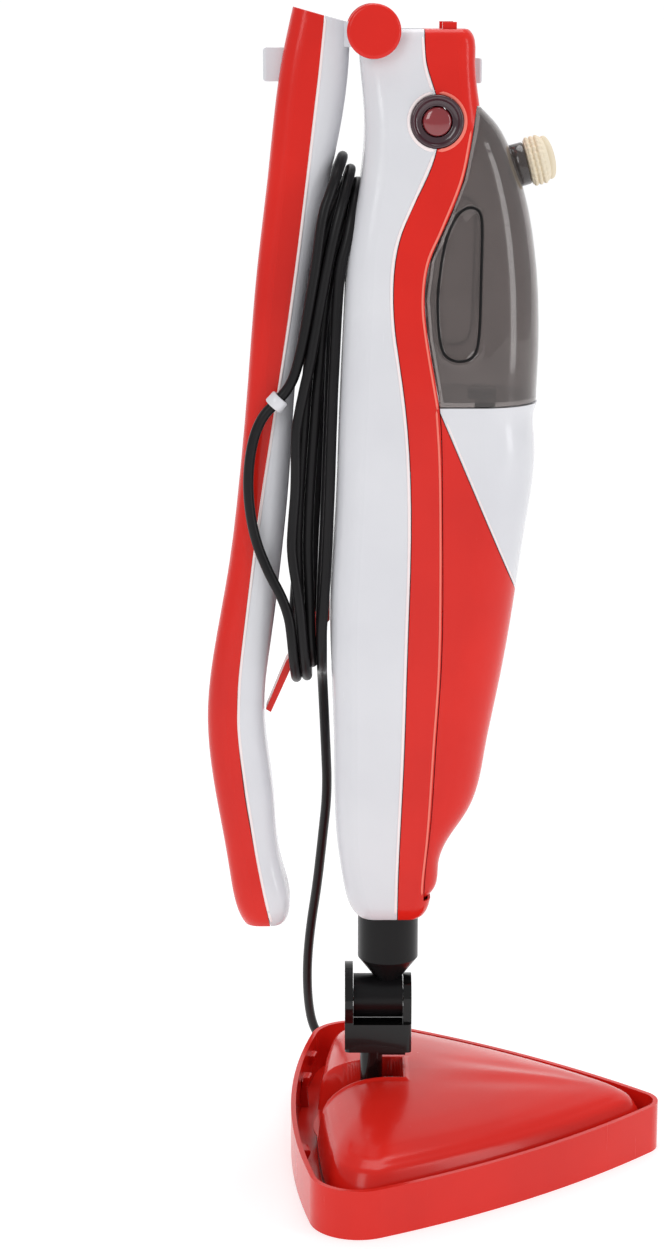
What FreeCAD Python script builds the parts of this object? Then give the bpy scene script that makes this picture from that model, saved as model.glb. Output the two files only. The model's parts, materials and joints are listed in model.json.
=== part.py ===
"""Folding steam mop standing in its carpet glider.

Millimetres, +Z up, +X towards the water tank, Y across.  The origin is on the
floor under the neck.  The body stands upright, the handle is folded down behind
it, and the mains lead is wound on two hooks between them.
"""
import FreeCAD
import Part
import math
import os

V = FreeCAD.Vector

# Glider and mop head
GLIDER_FRONT = 169.0
GLIDER_BACK = -60.0
GLIDER_CORNER_X = -48.0
GLIDER_HALF_WIDTH = 139.0
GLIDER_NOSE_RADIUS = 17.0
GLIDER_CORNER_RADIUS = 29.0
GLIDER_SIDE_RADIUS = 620.0
GLIDER_HEIGHT = 30.0
GLIDER_WALL = 3.0
GLIDER_FLOOR = 2.6
SLOT_LENGTH = 46.0
SLOT_WIDTH = 7.0
HEAD_GAP = 8.0
PAD_THICKNESS = 4.0
SOLE_THICKNESS = 5.0
DOME_WALL = 2.4
DOME_TOP = 50.0
SEAT_GAP = 0.3

# Neck
TILT_X = -10.0
TILT_Z = 32.0
TILT_PIN_RADIUS = 4.0
LEG_RADIUS = 7.0
SWIVEL_X = -6.0
SWIVEL_Z = 99.0
SWIVEL_PIN_RADIUS = 4.0
YOKE_HALF_LENGTH = 20.5
YOKE_HALF_WIDTH = 17.0
CHEEK = 5.0
REAR_CHEEK_RADIUS = 21.0
FRONT_CHEEK_RADIUS = 14.0
DRUM_RADIUS = 13.5
COLLAR_RADIUS = 18.5
COLLAR_BOTTOM = 125.0
SPIGOT_RADIUS = 11.0
RUNNING = 0.05

# Body
BODY_BOTTOM = 155.5
BODY_TOP = 684.0
SHELL = 2.2
SEAM_GAP = 0.5
FRONT_INSET = 1.2
TANK_BOTTOM = 471.5
TANK_WALL = 2.4
BOWL_TOP = 470.8
CAP_POINT = (74.6, 0.0, 607.0)
CAP_AXIS = (math.cos(math.radians(15)), 0.0, math.sin(math.radians(15)))
NECK_RADIUS = 10.5
CAP_RADIUS = 13.6
VALVE_X = 54.0
CUT_HALF = 70.0

# Controls on the body
SIDE_BUTTON = (25.0, 633.0)
SIDE_BUTTON_RADIUS = 8.2
BEZEL_RADIUS = 15.0
SIDE_BUTTON_TRAVEL = 2.5
LATCH_TRAVEL = 3.0
CATCH_TRAVEL = 3.0
BUTTON_CLEARANCE = 0.35

# Handle and its hinge
HINGE_X = -10.8
HINGE_Z = 683.0
AXLE_RADIUS = 4.0
LUG_RADIUS = 14.0
BARREL_RADIUS = 13.4
BARREL_HALF = 16.0
LUG_INNER = 16.5
LUG_OUTER = 35.2
KNOB_RADIUS = 15.3
KNOB_THICKNESS = 7.5
HANDLE_WALL = 2.2
HANDLE_BOTTOM = 148.5
FOLD_BUTTON_Z = 664.0

# Mains lead
LEAD_DIAMETER = 6.2
HANK_HALF_WIDTH = 22.5
HANK_BUNDLE = 12.6
HANK_LOW = 332.5
HANK_HIGH = 578.5
PLUG_LENGTH = 34.0
PLUG_WIDTH = 24.0
PLUG_HEIGHT = 16.0
PLUG_START = (-4.0, 153.0)
PLUG_TURN = -34.0
CLIP_AT = (-66.4, -28.8, 472.5)
CLIP_ALONG = (-0.677, 0.0, -0.736)

# Sections of the body's main shell: height, rear, front, half width, rear and
# front corner radii.
CORE = [
    (BODY_BOTTOM, -17.5, 19.0, 23.5, 9, 8),
    (159.5, -21.3, 22.4, 27.0, 11, 9),
    (180.0, -27.8, 27.0, 30.5, 12, 9),
    (212.0, -32.0, 41.0, 33.5, 13, 10),
    (255.0, -33.2, 54.0, 36.8, 14, 11),
    (310.0, -34.6, 60.0, 40.0, 15, 12),
    (350.0, -35.4, 60.0, 42.0, 16, 12),
    (400.0, -32.6, 60.0, 44.0, 16, 12),
    (457.0, -30.4, 60.0, 45.4, 16, 12),
    (520.0, -27.6, 59.0, 44.6, 16, 12),
    (565.0, -24.0, 57.0, 42.6, 15, 12),
    (602.0, -17.6, 54.0, 40.2, 14, 12),
    (640.0, -16.0, 49.6, 37.2, 13, 11),
    (668.0, -18.6, 46.8, 34.6, 12, 10),
    (681.5, -16.6, 45.0, 33.2, 11, 9),
    (BODY_TOP, -14.0, 42.6, 30.8, 9, 7),
]
# The same for the bowl and front shell, and for the water tank above them.
FRONT = [
    (169.0, 2.0, 22.6, 27.0, 5, 10),
    (190.0, 2.0, 30.2, 30.0, 5, 14),
    (211.0, 2.0, 39.8, 32.2, 5, 18),
    (221.0, 2.0, 46.6, 33.2, 5, 20),
    (260.0, 2.0, 57.6, 36.2, 5, 24),
    (300.0, 2.0, 65.2, 38.6, 5, 27),
    (345.0, 2.0, 72.6, 41.0, 5, 29),
    (400.0, 2.0, 80.2, 43.0, 5, 31),
    (450.0, 2.0, 84.3, 44.2, 5, 33),
    (BOWL_TOP, 2.0, 85.8, 44.4, 5, 34),
]
TANK = [
    (TANK_BOTTOM, 2.0, 85.2, 44.0, 5, 34),
    (510.0, 2.0, 86.2, 44.0, 5, 34),
    (552.0, 2.0, 84.0, 42.4, 5, 33),
    (590.0, 4.0, 77.2, 39.4, 5, 30),
    (616.0, 9.0, 68.4, 35.4, 5, 26),
    (632.0, 17.0, 59.0, 30.4, 5, 20),
    (640.5, 24.0, 50.6, 24.0, 4, 12),
]
# The folded handle: height, outer edge, inner edge, half width, corner radii.
HANDLE = [
    (HANDLE_BOTTOM, -87.5, -64.5, 15.0, 9, 9),
    (153.0, -90.0, -61.6, 18.5, 11, 11),
    (186.0, -97.4, -65.6, 20.4, 12, 12),
    (230.0, -104.6, -70.2, 21.0, 12, 12),
    (282.0, -109.2, -75.4, 21.0, 12, 12),
    (324.0, -104.4, -71.2, 21.0, 12, 12),
    (373.0, -95.6, -65.0, 20.6, 12, 12),
    (422.0, -89.4, -60.0, 20.4, 12, 11),
    (476.0, -84.2, -56.4, 20.2, 11, 10),
    (546.0, -78.2, -47.2, 20.0, 11, 11),
    (600.0, -71.6, -35.6, 20.0, 11, 12),
    (640.0, -67.2, -27.6, 20.0, 11, 12),
    (670.0, -62.6, -24.6, 20.0, 11, 12),
    (698.0, -56.4, -24.4, 18.6, 10, 11),
]
# Side outlines (X, Z) of the seams, from the top down.
REAR_SEAM = [(17, 702), (17.5, 684), (19, 664), (24, 648), (26, 628), (23.5, 613), (14.5, 592),
             (4, 567), (0.6, 545), (1.4, 516), (6, 484), (10, 445), (11.4, 392), (10, 333), (8, 254),
             (5.5, 190), (5, 148)]
TANK_SEAM = [(47.5, 641.5), (45.4, 628), (40, 601), (29, 573), (21, 554), (18.4, 533), (20.4, 511),
             (26.8, 474), (29, 434), (30, 370), (29.6, 315), (27, 268), (24, 214), (21.2, 182), (20.8, 169)]
HANDLE_SEAM = [(-38, 704), (-39, 690), (-44.6, 639), (-57.5, 536), (-75.5, 419), (-88, 325), (-91, 290),
               (-90, 261), (-81.5, 199), (-74, 160), (-71, 140)]
BOWL_LINE = [(24.0, 477.5), (92.0, 319.0)]

# Route of the mains lead where it is not wound.
LEAD_IN = [(-33.5, 0, 540.6), (-34, -0.8, 527), (-34.6, -6, 508), (-35.4, -15, 487), (-36.2, -22.5, 463),
           (-37, -25.4, 440), (-38, -25.6, 412), (-39.3, -25.6, 383), (-40.6, -25.6, 356)]
CLIP_LOOP = [(-43.3, -31.8, 552), (-47, -31.8, 531), (-50, -31.2, 513), (-53.6, -30, 496), (-58, -29, 482.5),
             (-66.4, -28.8, 472.5), (-75.5, -28.8, 463.5), (-81.5, -28.8, 447), (-84, -28.8, 422),
             (-80.5, -28.8, 394), (-72, -29.4, 372), (-64.2, -30.6, 358), (-59.6, -31.6, 345)]
TAIL = [(-40.4, 4, 304.5), (-40.2, 13, 297), (-39.6, 22, 282), (-38.4, 36, 251), (-37.2, 52, 215),
        (-40.6, 71, 178), (-44, 88, 142), (-48, 103, 112), (-50.5, 117, 84), (-51, 130, 60), (-50, 142, 39),
        (-47.5, 151.5, 22), (-42.5, 158.5, 10.2), (-33.5, 162.5, 4.8), (-22.5, 163, 3.7), (-12.5, 159.5, 3.5),
        (-4, 153, 3.4)]
# Side outline (X, Z) of the wound lead.
HANK_OUTLINE = [(-17.6, 614), (-30, 614), (-36.6, 590), (-42.6, 572), (-48, 531), (-50, 495), (-57.5, 460),
                (-61, 400), (-62, 345), (-56.6, 314), (-55, 298), (-37.5, 298), (-38.2, 352), (-35.4, 400), (-33.4, 457),
                (-30.4, 520), (-27, 565), (-20.6, 602)]


def box(x, y, z):
    """A box from three (low, high) pairs."""
    solid = Part.makeBox(x[1] - x[0], y[1] - y[0], z[1] - z[0])
    solid.translate(V(x[0], y[0], z[0]))
    return solid


def rod(radius, start, direction, length):
    return Part.makeCylinder(radius, length, V(*start), V(*direction))


def section(z, rear, front, half, rear_radius, front_radius, inset=0.0):
    """Rounded rectangle in a level plane, symmetric about Y = 0."""
    x0 = rear + inset
    x1 = front - inset
    w = half - inset
    ra = max(rear_radius - inset, 1.0)
    rb = max(front_radius - inset, 1.0)
    k = math.sqrt(0.5)
    p = [V(x0 + ra, -w, z), V(x1 - rb, -w, z), V(x1, -w + rb, z), V(x1, w - rb, z),
         V(x1 - rb, w, z), V(x0 + ra, w, z), V(x0, w - ra, z), V(x0, -w + ra, z)]
    m = [V(x1 - rb + rb * k, -w + rb - rb * k, z), V(x1 - rb + rb * k, w - rb + rb * k, z),
         V(x0 + ra - ra * k, w - ra + ra * k, z), V(x0 + ra - ra * k, -w + ra - ra * k, z)]
    edges = [Part.makeLine(p[0], p[1]), Part.Arc(p[1], m[0], p[2]).toShape(),
             Part.makeLine(p[2], p[3]), Part.Arc(p[3], m[1], p[4]).toShape(),
             Part.makeLine(p[4], p[5]), Part.Arc(p[5], m[2], p[6]).toShape(),
             Part.makeLine(p[6], p[7]), Part.Arc(p[7], m[3], p[0]).toShape()]
    return Part.Wire(edges)


def loft(rows, inset=0.0, low=None, high=None):
    """Solid through level sections; low and high replace the end heights."""
    rows = [list(r) for r in rows]
    if low is not None:
        rows[0][0] = low
    if high is not None:
        rows[-1][0] = high
    return Part.makeLoft([section(*r, inset=inset) for r in rows], True, False)


def side_curve(points, shift=0.0):
    curve = Part.BSplineCurve()
    curve.interpolate([V(x + shift, -CUT_HALF, z) for x, z in points])
    return curve.toShape()


def beyond(points, far_x, shift=0.0):
    """Prism along Y of everything between a side curve and far_x."""
    first = V(points[0][0] + shift, -CUT_HALF, points[0][1])
    last = V(points[-1][0] + shift, -CUT_HALF, points[-1][1])
    far_low = V(far_x, -CUT_HALF, points[-1][1])
    far_high = V(far_x, -CUT_HALF, points[0][1])
    wire = Part.Wire([side_curve(points, shift), Part.makeLine(last, far_low),
                      Part.makeLine(far_low, far_high), Part.makeLine(far_high, first)])
    return Part.Face(wire).extrude(V(0, 2 * CUT_HALF, 0))


def side_prism(points, half=CUT_HALF):
    """Prism along Y of a straight-sided outline in the XZ plane."""
    corners = [V(x, -half, z) for x, z in points]
    return Part.Face(Part.makePolygon(corners + corners[:1])).extrude(V(0, 2 * half, 0))


def delta(z, front, back, corner_x, half, nose_radius, corner_radius, side_radius, inset=0.0):
    """Three-cornered outline of six tangent arcs, in a level plane."""
    rf = nose_radius - inset
    rr = corner_radius - inset
    rs = side_radius - inset
    xf = front - nose_radius
    xc = corner_x + corner_radius
    yc = half - corner_radius
    edge = back + inset
    rb = (rr ** 2 - (xc - edge) ** 2 - yc ** 2) / (2 * (rr - (xc - edge)))
    span = math.hypot(xf - xc, yc)
    da, db = rs - rf, rs - rr
    along = (da ** 2 - db ** 2 + span ** 2) / (2 * span)
    off = math.sqrt(da ** 2 - along ** 2)
    ux, uy = (xc - xf) / span, yc / span
    side_x, side_y = xf + ux * along + uy * off, uy * along - ux * off
    if side_y > 0:
        side_x, side_y = xf + ux * along - uy * off, uy * along + ux * off

    def out(cx, cy, px, py, radius):
        length = math.hypot(px - cx, py - cy)
        return cx + (px - cx) * radius / length, cy + (py - cy) * radius / length

    nose = out(side_x, side_y, xf, 0, rs)
    wing = out(side_x, side_y, xc, yc, rs)
    rear = out(edge + rb, 0, xc, yc, rb)
    side_mid = out(side_x, side_y, (nose[0] + wing[0]) / 2, (nose[1] + wing[1]) / 2, rs)
    corner_mid = out(xc, yc, (wing[0] + rear[0]) / 2, (wing[1] + rear[1]) / 2, rr)

    def at(point, side=1):
        return V(point[0], side * point[1], z)

    arcs = [(at(nose, -1), V(xf + rf, 0, z), at(nose)), (at(nose), at(side_mid), at(wing)),
            (at(wing), at(corner_mid), at(rear)), (at(rear), V(edge, 0, z), at(rear, -1)),
            (at(rear, -1), at(corner_mid, -1), at(wing, -1)), (at(wing, -1), at(side_mid, -1), at(nose, -1))]
    return Part.Wire([Part.Arc(*arc).toShape() for arc in arcs])


def glider_outline(z, inset=0.0):
    return delta(z, GLIDER_FRONT, GLIDER_BACK, GLIDER_CORNER_X, GLIDER_HALF_WIDTH,
                 GLIDER_NOSE_RADIUS, GLIDER_CORNER_RADIUS, GLIDER_SIDE_RADIUS, inset)


def prism(wire, height):
    return Part.Face(wire).extrude(V(0, 0, height))


def tube(points, diameter, name):
    """Straight runs joined by tangent arcs as large as their runs allow."""
    p = [V(*q) for q in points]
    edges = []
    radii = []
    length = 0.0
    here = p[0]
    for before, corner, after in zip(p, p[1:], p[2:]):
        a = (before - corner).normalize()
        b = (after - corner).normalize()
        half_turn = (math.pi - a.getAngle(b)) / 2
        cut = 0.45 * min((before - corner).Length, (after - corner).Length)
        radius = cut / math.tan(half_turn)
        radii.append(radius)
        start, end = corner + a * cut, corner + b * cut
        middle = (a + b).normalize()
        apex = corner + middle * (radius / math.cos(half_turn) - radius)
        edges += [Part.makeLine(here, start), Part.Arc(start, apex, end).toShape()]
        length += (start - here).Length + radius * 2 * half_turn
        here = end
    edges.append(Part.makeLine(here, p[-1]))
    length += (p[-1] - here).Length
    profile = Part.Wire([Part.makeCircle(diameter / 2, p[0], p[1] - p[0])])
    solid = Part.Wire(edges).makePipeShell([profile], True, True)
    ideal = math.pi * diameter ** 2 / 4 * length
    print(f"{name}: length {length:.0f} mm, tightest radius {min(radii):.1f} mm, "
          f"volume {solid.Volume / ideal:.4f} of section times length")
    return solid


# ---- glider and head ----

def make_glider():
    tray = prism(glider_outline(0), GLIDER_HEIGHT)
    tray = tray.cut(prism(glider_outline(GLIDER_FLOOR, GLIDER_WALL), GLIDER_HEIGHT))
    for x in (-28.0, 22.0, 72.0, 122.0):
        reach = (GLIDER_FRONT - x) / (GLIDER_FRONT - GLIDER_BACK) * GLIDER_HALF_WIDTH
        rows = int((reach - SLOT_LENGTH / 2) // (SLOT_LENGTH + 8))
        for row in range(-rows, rows + 1):
            y = row * (SLOT_LENGTH + 8)
            slot = box((x, x + SLOT_WIDTH), (y - SLOT_LENGTH / 2, y + SLOT_LENGTH / 2), (-1, GLIDER_FLOOR + 1))
            tray = tray.cut(slot)
    for y in (-62.0, 62.0):
        foot = GLIDER_FLOOR
        clip = side_prism([(-55.5, foot), (-49.5, foot), (-51.5, 20), (-53.6, 20)], 8.0)
        clip.translate(V(0, y, 0))
        tray = tray.fuse(clip)
    return tray.removeSplitter()


def head_outline(z, shrink=0.0):
    return delta(z, GLIDER_FRONT - HEAD_GAP, GLIDER_BACK + 2 * HEAD_GAP, GLIDER_CORNER_X + 12.0,
                 GLIDER_HALF_WIDTH - 1.8 * HEAD_GAP, GLIDER_NOSE_RADIUS - 3, GLIDER_CORNER_RADIUS - 5,
                 GLIDER_SIDE_RADIUS - 20, shrink)


PAD_LOW = GLIDER_FLOOR + SEAT_GAP
SOLE_LOW = PAD_LOW + PAD_THICKNESS
DOME_LOW = SOLE_LOW + SOLE_THICKNESS


def make_pad():
    return prism(head_outline(PAD_LOW, 0.6), PAD_THICKNESS)


def leg_bay(grow=0.0):
    """Space the leg swings in: open to the rear and above."""
    return box((-90, TILT_X + LEG_RADIUS + 8 + grow), (-15 - grow, 15 + grow), (DOME_LOW - 0.01, 90))


def make_sole():
    sole = prism(head_outline(SOLE_LOW), SOLE_THICKNESS)
    for x in (-20.0, 30.0, 80.0, 118.0):
        for y in (-24.0, 0.0, 24.0):
            sole = sole.cut(rod(2.2, (x, y, SOLE_LOW - 1), (0, 0, 1), SOLE_THICKNESS + 2))
    return sole


def dome_solid(inset=0.0):
    """Pillow-shaped cover: sections shrink towards a crown by the neck."""
    crown = DOME_TOP - inset
    base = DOME_LOW
    front, half = GLIDER_FRONT - HEAD_GAP, GLIDER_HALF_WIDTH - 1.8 * HEAD_GAP
    rows = [(base, 0, 0, 0), (base + 6, 0.6, 0.6, 0.6), (base + 0.42 * (crown - base), 8, 4, 7),
            (base + 0.63 * (crown - base), 42, 9, 34), (base + 0.80 * (crown - base), 78, 14, 62),
            (base + 0.94 * (crown - base), 112, 20, 86), (crown, 132, 26, 101)]
    wires = []
    for z, pull, lift, narrow in rows:
        fade = 1 - 0.35 * pull / 132
        wires.append(delta(z, front - pull - inset, GLIDER_BACK + 2 * HEAD_GAP + lift + inset,
                           GLIDER_CORNER_X + 12 + lift + inset, half - narrow - inset,
                           (GLIDER_NOSE_RADIUS - 3) * fade, (GLIDER_CORNER_RADIUS - 5) * fade * (1 - narrow / 260),
                           GLIDER_SIDE_RADIUS * fade))
    return Part.makeLoft(wires, True, False)


def make_dome():
    shell = dome_solid().cut(dome_solid(DOME_WALL))
    return shell.cut(leg_bay())


def make_socket():
    """Bracket in the head whose two ears hold the tilt pin."""
    bay = leg_bay(-SEAT_GAP)
    floor = bay.common(box((-38, 30), (-30, 30), (DOME_LOW, DOME_LOW + 3)))
    back = TILT_X + LEG_RADIUS + 4
    parts = [floor, box((back, back + 3), (-14.7, 14.7), (DOME_LOW, TILT_Z + 8))]
    for y in (-14.7, 9.0):
        ear = box((TILT_X - 7, back), (y, y + 5.7), (DOME_LOW, TILT_Z))
        parts += [ear, rod(7.0, (TILT_X, y, TILT_Z), (0, 1, 0), 5.7)]
    ears = parts[0].multiFuse(parts[1:])
    return ears.cut(rod(TILT_PIN_RADIUS + 0.01, (TILT_X, -20, TILT_Z), (0, 1, 0), 40)).removeSplitter()


def make_tilt_pin():
    return rod(TILT_PIN_RADIUS, (TILT_X, -14.5, TILT_Z), (0, 1, 0), 29.0)


# ---- neck ----

def make_yoke():
    """Leg on the tilt pin, carrying the cheeks of the swivel."""
    low, high = SWIVEL_X - YOKE_HALF_LENGTH, SWIVEL_X + YOKE_HALF_LENGTH
    base_low = SWIVEL_Z - DRUM_RADIUS - 18
    parts = [rod(LEG_RADIUS, (TILT_X, 0, TILT_Z), (0, 0, 1), base_low - TILT_Z + 4),
             rod(8.0, (TILT_X, -8.5, TILT_Z), (0, 1, 0), 17.0)]
    block = box((low, high), (-YOKE_HALF_WIDTH, YOKE_HALF_WIDTH), (base_low, SWIVEL_Z - DRUM_RADIUS))
    block = block.makeFillet(3.0, [e for e in block.Edges if abs(e.tangentAt(e.FirstParameter).z) > 0.9])
    parts.append(block)
    for x, radius in ((low, REAR_CHEEK_RADIUS), (high - CHEEK, FRONT_CHEEK_RADIUS)):
        disc = rod(radius, (x, 0, SWIVEL_Z), (1, 0, 0), CHEEK)
        web = box((x, x + CHEEK), (-min(radius, YOKE_HALF_WIDTH), min(radius, YOKE_HALF_WIDTH)),
                  (base_low + 2, SWIVEL_Z))
        parts += [disc, web]
    parts.append(box((TILT_X + 5, TILT_X + 21), (-5, 5), (base_low - 6, base_low + 2)))
    body = parts[0].multiFuse(parts[1:])
    body = body.cut(rod(TILT_PIN_RADIUS + RUNNING, (TILT_X, -20, TILT_Z), (0, 1, 0), 40))
    body = body.cut(rod(DRUM_RADIUS + 0.5, (low + CHEEK - 0.01, 0, SWIVEL_Z), (1, 0, 0), 2 * (YOKE_HALF_LENGTH - CHEEK)))
    body = body.cut(rod(SWIVEL_PIN_RADIUS + 0.01, (low - 1, 0, SWIVEL_Z), (1, 0, 0), 60))
    return body.removeSplitter()


def make_swivel_pin():
    return rod(SWIVEL_PIN_RADIUS, (SWIVEL_X - YOKE_HALF_LENGTH + 0.4, 0, SWIVEL_Z), (1, 0, 0),
               2 * YOKE_HALF_LENGTH - 0.8)


def make_collar():
    """Round collar that tapers into the drum between the cheeks."""
    half = YOKE_HALF_LENGTH - CHEEK - 0.4
    drum = rod(DRUM_RADIUS, (SWIVEL_X - half, 0, SWIVEL_Z), (1, 0, 0), 2 * half)
    cone_low = SWIVEL_Z + 6
    cone = Part.makeCone(3.0, COLLAR_RADIUS, COLLAR_BOTTOM - cone_low, V(0, 0, cone_low))
    sleeve = rod(COLLAR_RADIUS, (0, 0, COLLAR_BOTTOM), (0, 0, 1), BODY_BOTTOM - SEAT_GAP - COLLAR_BOTTOM)
    spigot = rod(SPIGOT_RADIUS, (0, 0, COLLAR_BOTTOM), (0, 0, 1), 185 - COLLAR_BOTTOM)
    collar = drum.multiFuse([cone, sleeve, spigot])
    collar = collar.cut(rod(SWIVEL_PIN_RADIUS + RUNNING, (-60, 0, SWIVEL_Z), (1, 0, 0), 120))
    return collar.cut(rod(5.0, (0, 0, SWIVEL_Z + 12), (0, 0, 1), 90)).removeSplitter()


def make_neck_seal():
    ring = Part.makeTorus(SPIGOT_RADIUS + 1.3, 1.2, V(0, 0, 171))
    return ring


# ---- body shells ----

def make_shells():
    outer = loft(CORE)
    inner = loft(CORE, SHELL, BODY_BOTTOM + SHELL, BODY_TOP - SHELL)
    wall = outer.cut(inner)
    hinge_slot = rod(BARREL_RADIUS + 1.2, (HINGE_X, -LUG_INNER, HINGE_Z), (0, 1, 0), 2 * LUG_INNER)
    gap_above = box((HINGE_X - 30, HINGE_X + 28), (-LUG_INNER, LUG_INNER), (HINGE_Z - 4, BODY_TOP + 5))
    lug_room = rod(LUG_RADIUS + 0.3, (HINGE_X, -60, HINGE_Z), (0, 1, 0), 120)
    spigot_hole = rod(SPIGOT_RADIUS + 0.4, (0, 0, BODY_BOTTOM - 2), (0, 0, 1), 12)
    rear = wall.cut(beyond(REAR_SEAM, 140))
    for tool in (hinge_slot, gap_above, lug_room, spigot_hole, button_recess(1), button_recess(-1)):
        rear = rear.cut(tool)
    for x, z in screw_places():
        rear = rear.cut(rod(3.4, (x - 6, 0, z), (1, 0, 0), 12))
    frame = wall.common(beyond(REAR_SEAM, 140, SEAM_GAP)).cut(beyond(TANK_SEAM, 140))
    for tool in (gap_above, spigot_hole, button_recess(1), button_recess(-1), latch_shape(BUTTON_CLEARANCE)):
        frame = frame.cut(tool)
    for side in (-1, 1):
        frame = frame.cut(catch_tab(side, BUTTON_CLEARANCE))
    return rear, frame, inner


def button_recess(side):
    x, z = SIDE_BUTTON
    return rod(BEZEL_RADIUS + 0.2, (x, side * 26, z), (0, side, 0), 40)


def make_front():
    """Bowl under the tank and the shell below its slanting lower edge."""
    wall = loft(FRONT).cut(loft(FRONT, SHELL, FRONT[0][0] + SHELL, BOWL_TOP + 1))
    wall = wall.common(beyond(TANK_SEAM, 140, SEAM_GAP))
    (x0, z0), (x1, z1) = BOWL_LINE
    above = side_prism([(x0, z0), (x1, z1), (160, z1), (160, 520), (x0, 520)])
    below = side_prism([(x0 - SEAM_GAP, z0), (x1 - SEAM_GAP, z1), (160, z1), (160, 100), (-20, 100), (-20, z0)])
    return wall.common(above), wall.common(below)


def make_chassis(inner):
    """Curved bulkhead behind the tank and front shell."""
    strip = beyond(TANK_SEAM, -60, -1.2).cut(beyond(TANK_SEAM, -60, -3.4))
    room = loft(CORE, SHELL + 0.4, BODY_BOTTOM + SHELL + 0.4, BODY_TOP - SHELL - 0.4)
    window = box((-60, 90), (-27, 27), (190, 462))
    strip = strip.common(room).cut(box((-80, 90), (-80, 80), (100, 176)))
    return strip.cut(window)


def make_tank_seat():
    level = BOWL_TOP - 6
    room = loft(FRONT, SHELL + 0.4, FRONT[0][0] + SHELL, BOWL_TOP + 1)
    plate = room.common(box((0, 120), (-60, 60), (level, level + 2.4)))
    plate = plate.common(beyond(TANK_SEAM, 140, 1.4))
    collar = rod(10.6, (VALVE_X, 0, level - 14), (0, 0, 1), 14.5)
    return plate.fuse(collar).cut(rod(8.0, (VALVE_X, 0, level - 12), (0, 0, 1), 30)).removeSplitter()


def screw_places():
    return [(-32.6, 215.0), (-34.2, 275.0), (-27.2, 525.0)]


def make_screws():
    heads = []
    for x, z in screw_places():
        head = rod(3.0, (x + 1.2, 0, z), (1, 0, 0), 2.2)
        shank = rod(1.4, (x + 3.2, 0, z), (1, 0, 0), 12)
        cross = box((x, x + 2.2), (-2.0, 2.0), (z - 0.4, z + 0.4)).fuse(box((x, x + 2.2), (-0.4, 0.4), (z - 2, z + 2)))
        heads.append(head.fuse(shank).cut(cross))
    return Part.makeCompound(heads)


def make_hinge_block():
    """Two lugs of the fold hinge and the block they stand on."""
    room = loft(CORE, SHELL + 0.3, BODY_BOTTOM + SHELL + 0.4, BODY_TOP - SHELL - 0.3)
    block = room.common(box((-40, HINGE_X + 25), (-60, 60), (658, BODY_TOP)))
    parts = []
    for side in (-1, 1):
        low = LUG_INNER if side > 0 else -LUG_OUTER
        parts.append(rod(LUG_RADIUS, (HINGE_X, low, HINGE_Z), (0, 1, 0), LUG_OUTER - LUG_INNER))
    block = block.multiFuse(parts)
    block = block.cut(rod(BARREL_RADIUS + 0.5, (HINGE_X, -LUG_INNER, HINGE_Z), (0, 1, 0), 2 * LUG_INNER))
    block = block.cut(box((HINGE_X - 30, HINGE_X + 40), (-LUG_INNER, LUG_INNER), (HINGE_Z - 5, HINGE_Z + 30)))
    block = block.cut(box((HINGE_X - 40, HINGE_X), (-LUG_INNER, LUG_INNER), (HINGE_Z - 13, HINGE_Z + 30)))
    return block.cut(rod(AXLE_RADIUS + 0.01, (HINGE_X, -60, HINGE_Z), (0, 1, 0), 120)).removeSplitter()


def make_axle():
    return rod(AXLE_RADIUS, (HINGE_X, -LUG_OUTER, HINGE_Z), (0, 1, 0), 2 * LUG_OUTER)


def make_knob(side):
    """Round cap over one end of the hinge axle."""
    start = side * (LUG_OUTER + SEAT_GAP)
    knob = rod(KNOB_RADIUS, (HINGE_X, start, HINGE_Z), (0, side, 0), KNOB_THICKNESS)
    rim = [e for e in knob.Edges if e.Closed and abs(e.CenterOfMass.y) > abs(start) + 1]
    return knob.makeFillet(2.2, rim)


def make_bezel(side):
    x, z = SIDE_BUTTON
    cup = rod(BEZEL_RADIUS, (x, side * 30, z), (0, side, 0), 8.2)
    cup = cup.cut(rod(BEZEL_RADIUS - 1.3, (x, side * 32, z), (0, side, 0), 10))
    return cup.cut(rod(SIDE_BUTTON_RADIUS + 0.3, (x, side * 26, z), (0, side, 0), 10))


def make_side_button(side):
    x, z = SIDE_BUTTON
    stem = rod(SIDE_BUTTON_RADIUS, (x, side * 30.5, z), (0, side, 0), 4.5)
    radius = 16.0
    ball = Part.makeSphere(radius, V(x, side * (38.2 - radius), z))
    dome = ball.common(rod(SIDE_BUTTON_RADIUS, (x, side * 30.5, z), (0, side, 0), 9))
    return stem.fuse(dome).removeSplitter()


def latch_shape(grow=0.0):
    return box((38, 51.6 if grow == 0 else 60), (-7 - grow, 7 + grow), (653.5 - grow, 667.5 + grow))


def make_latch():
    button = latch_shape()
    return button.makeFillet(1.6, [e for e in button.Edges if e.CenterOfMass.x > 51])


def catch_tab(side, grow=0.0):
    low, high = sorted((side * 21.8, side * 27.8))
    return box((28 - grow, 36 + grow), (low - grow, high + grow), (672 if grow == 0 else 676, 688 + 6 * grow))


def make_catch():
    """Two press tabs on the top, joined inside."""
    bar = box((29, 34), (-27, 27), (669, 672.5))
    tabs = [catch_tab(side) for side in (-1, 1)]
    return bar.multiFuse(tabs).removeSplitter()


def make_upper_hook():
    """Post and lip the hank hangs on, behind the body."""
    post = box((-32.6, -19), (-13, 13), (577, 588))
    lip = box((-32.8, -30.4), (-13, 13), (577, 596))
    return post.fuse(lip).cut(loft(CORE, -0.3)).removeSplitter()


def make_lower_hook():
    """Flat tongue that slants down and back from the body."""
    tongue = side_prism([(-33, 350), (-33, 342), (-58.4, 310.2), (-71.2, 281.6), (-74.2, 283.4),
                         (-62.2, 312.6), (-38, 350)], 8.0)
    return tongue.cut(loft(CORE, -0.3))


# ---- inside the body ----

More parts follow.
